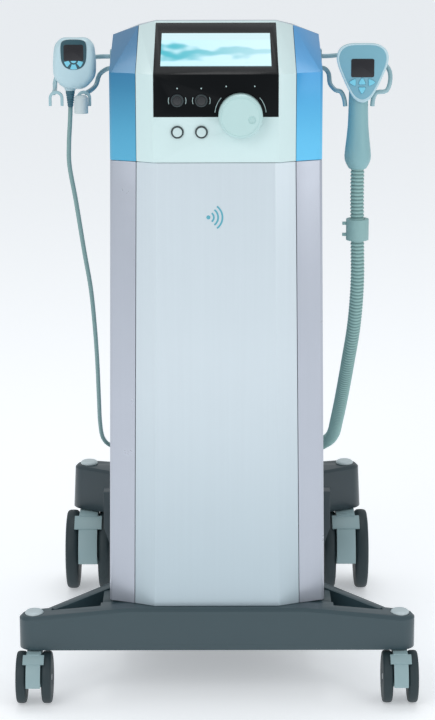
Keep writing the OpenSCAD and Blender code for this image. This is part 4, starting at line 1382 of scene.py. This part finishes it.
    def tip(self) -> Obj:
        """Turned treatment tip with a stepped, rounded face."""
        box = NodeBox("left_treatment_tip")
        shares = [(0.0, 0.0), (0.80, 0.0), (0.84, 0.10), (0.84, 0.30), (1.0, 0.38), (1.0, 0.78)]
        shares += [(0.86 + 0.14 * math.cos(a), 0.78 + 0.19 * math.sin(a)) for a in (0.5, 1.0, 1.57)]
        shares += [(0.62, 0.97), (0.58, 0.93), (0.3, 0.95), (0.0, 0.96)]
        at = Vector((box.mid.x, box.lo.y, box.mid.z))
        profile = sized(shares, box.size.x / 2, box.size.y)
        piece = lathe("left_treatment_tip_finished", profile, at, Axis.BACK, 56)
        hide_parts("left_treatment_tip")
        return piece

    def build(self) -> None:
        """Builds the left handpiece and the spare tip."""
        place_piece(self.shell(), HAND_PALE, self.body)
        place_piece(self.bezel(), BEZEL, self.body)
        place_piece(self.screen(), SCREEN, self.body)
        place_piece(self.keys(), KEY, self.body)
        place_piece(self.relief(), RELIEF, self.body)
        place_piece(self.tip(), STEEL, self.body)
        dress_soft("spare_tip", CAP_GREY, "spare_tip", 0.8 * MM)


@dataclass
class RightHandpiece:
    """Shield-headed handpiece with a screen, four arrow keys and a flared handle."""

    body: str = "right_handpiece"
    arrows: dict[str, float] = field(default_factory=lambda: {"up": 90, "down": -90, "left": 180, "right": 0})

    def shield(self, count: int) -> Pairs:
        """Outline of the head about its centre, as shares of its width and height."""
        half = [
            (0.22, 0.300), (0.36, 0.265), (0.455, 0.19), (0.495, 0.07), (0.47, -0.06), (0.41, -0.20),
            (0.32, -0.38), (0.23, -0.53), (0.14, -0.635),
        ]
        return closed_outline([(0.0, 0.305), *half, (0.0, -0.69), *((-x, z) for x, z in reversed(half))], count)

    def head_ring(self, k: float, y: float, count: int = 96) -> Points:
        """One ring of the head, drawn in by k metres."""
        box = NodeBox("right_face_plate")
        w, h = box.size.x, 77 * MM
        cz = box.hi.z - 0.3 * h
        return [
            Vector((box.mid.x + x * (w - 2 * k), y, cz + z * (h - 2 * k)))
            for x, z in self.shield(count)
        ]

    def shell(self) -> Obj:
        """Head shell with a rounded back, and the handle that flares to the hose."""
        box = NodeBox("right_handpiece_shell")
        plate_box = NodeBox("right_face_plate")
        y0, y1 = plate_box.hi.y, NodeBox("right_applicator").lo.y
        stations = [(0.0, 1.2), (0.12, 0.4), (0.35, 0.6), (0.6, 2.2), (0.8, 4.8), (0.92, 8.2), (1.0, 12.0)]
        head = loft("head", [self.head_ring(k * MM, y0 + (y1 - y0) * s) for s, k in stations], 50.0)
        x = 186 * MM
        top = plate_box.lo.z + 26 * MM
        low = box.lo.z
        y = NodeBox("right_hose").lo.y + 9 * MM
        rings = []
        sides = 48
        steps = [
            (0.0, 11.4), (0.012, 12.4), (0.06, 15.4), (0.10, 17.0), (0.15, 17.5), (0.24, 16.6), (0.36, 15.0),
            (0.5, 13.5), (0.66, 12.9), (0.8, 12.6), (0.92, 12.4), (1.0, 11.0),
        ]
        for share, r in steps:
            z = low + (top - low) * share
            ring = []
            for k in range(sides):
                a = 2 * math.pi * k / sides
                ring.append(Vector((x + r * MM * math.cos(a), y + 0.92 * r * MM * math.sin(a), z)))
            rings.append(ring)
        handle = loft("handle", rings, 60.0)
        shell = joined("right_handpiece_shell_finished", [head, handle], 50.0)
        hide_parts("right_handpiece_shell")
        return shell

    def arrow(self, angle: float, grow: float) -> Pairs:
        """Outline of an arrow key that points along angle, grown by a share."""
        turn = math.radians(angle)
        corner = [(5.2, 0.0), (2.2, 2.6), (-2.6, 4.4), (-3.2, 0.0), (-2.6, -4.4), (2.2, -2.6)]
        size = MM * (1 + grow)
        along, aside = math.cos(turn), math.sin(turn)
        turned = [(x * along - z * aside, x * aside + z * along) for x, z in closed_outline(corner, 36)]
        return sized(turned, size, size)

    def pierced(self, piece: Obj) -> Obj:
        """Opens a hole in a face piece round each arrow key."""
        cutters = []
        for name, angle in self.arrows.items():
            box = NodeBox(f"right_key_{name}")
            hole = self.arrow(angle, 0.08)
            cutters.append(plate("key_cutter", hole, box.mid, box.lo.y - 3 * MM, box.hi.y + 3 * MM, 0.1 * MM))
        for cutter in cutters:
            cut = piece.modifiers.new("key_hole", "BOOLEAN")
            cut.operation = "DIFFERENCE"
            cut.solver = "EXACT"
            cut.object = cutter
        piece = baked(piece, 50.0)
        for cutter in cutters:
            bpy.data.objects.remove(cutter)
        return piece

    def face(self) -> Obj:
        """Steel-blue face, slightly dished inside a pale rim."""
        box = NodeBox("right_face_plate")
        y = box.lo.y
        steps = [(0.0, box.size.y), *in_mm([(0.0, 1.2), (0.5, 0.5), (1.4, 0.1), (2.4, 0.15), (3.2, 0.7)])]
        rings = [self.head_ring(k, y + dy) for k, dy in steps]
        return self.pierced(loft("right_face_rim", rings, 50.0))

    def inset(self) -> Obj:
        """The coloured field inside the rim."""
        box = NodeBox("right_face_plate")
        steps = ((3.1, box.hi.y - 0.5 * MM), (3.1, box.lo.y + 0.45 * MM), (3.8, box.lo.y + 0.25 * MM))
        rings = [self.head_ring(k * MM, y) for k, y in steps]
        return self.pierced(loft("right_face_plate_finished", rings, 50.0))

    def screen(self) -> Obj:
        """Small black screen with a thin frame."""
        box = NodeBox("right_screen")
        shape = rounded_box(15 * MM, 12 * MM, 2.5 * MM)
        front = NodeBox("right_face_plate").lo.y - 0.3 * MM
        piece = plate("right_screen_finished", shape, box.mid, front, front + 2.2 * MM, 0.3 * MM)
        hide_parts("right_screen")
        return piece

    def key(self, name: str, angle: float) -> None:
        """One triangular arrow key that points along angle in degrees."""
        node = f"right_key_{name}"
        box = NodeBox(node)
        piece = plate(f"{node}_finished", self.arrow(angle, 0.0), box.mid, box.lo.y, box.hi.y, 0.5 * MM)
        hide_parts(node)
        place_piece(piece, KEY, node)

    def applicator(self) -> Obj:
        """Transducer head on the back of the shield."""
        box = NodeBox("right_applicator")
        shares = [(0.0, 0.0), (0.8, 0.0), (0.82, 0.1), (1.0, 0.35), (1.0, 0.55)]
        shares += [(0.84 + 0.16 * math.cos(a), 0.55 + 0.4 * math.sin(a)) for a in (0.4, 0.8, 1.2, 1.57)]
        shares += [(0.72, 0.95), (0.7, 0.88), (0.0, 0.92)]
        profile = sized(shares, box.size.x / 2, box.size.y)
        at = Vector((box.mid.x, box.lo.y, box.mid.z))
        piece = lathe("right_applicator_finished", profile, at, Axis.BACK, 72)
        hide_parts("right_applicator")
        return piece

    def build(self) -> None:
        """Builds the right handpiece."""
        place_piece(self.shell(), HAND, self.body)
        place_piece(self.face(), HAND_PALE, self.body)
        inset = self.inset()
        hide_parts("right_face_plate")
        place_piece(inset, FACE, self.body)
        place_piece(self.screen(), SCREEN, self.body)
        place_piece(self.applicator(), STEEL, self.body)
        for name, angle in self.arrows.items():
            self.key(name, angle)


@dataclass
class Cradles:
    """Bent-rod cradles on both cheeks: two rods and a wall plate each, and two hooks on the left."""

    edge: float = 0.5 * MM

    def build(self) -> None:
        """Builds both cradles."""
        for node in ("cradle_left", "cradle_right"):
            dress_soft(node, WIRE, "root", self.edge, 2, 60.0)


def main() -> None:
    """Builds the studio, the cords and each sub-assembly in order."""
    logging.basicConfig(level=logging.INFO, format="%(message)s")
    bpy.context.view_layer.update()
    Studio().build()
    Cords().build()
    Base().build()
    Column().build()
    Head().build()
    LeftHandpiece().build()
    RightHandpiece().build()
    Cradles().build()


if __name__ == "__main__":
    main()
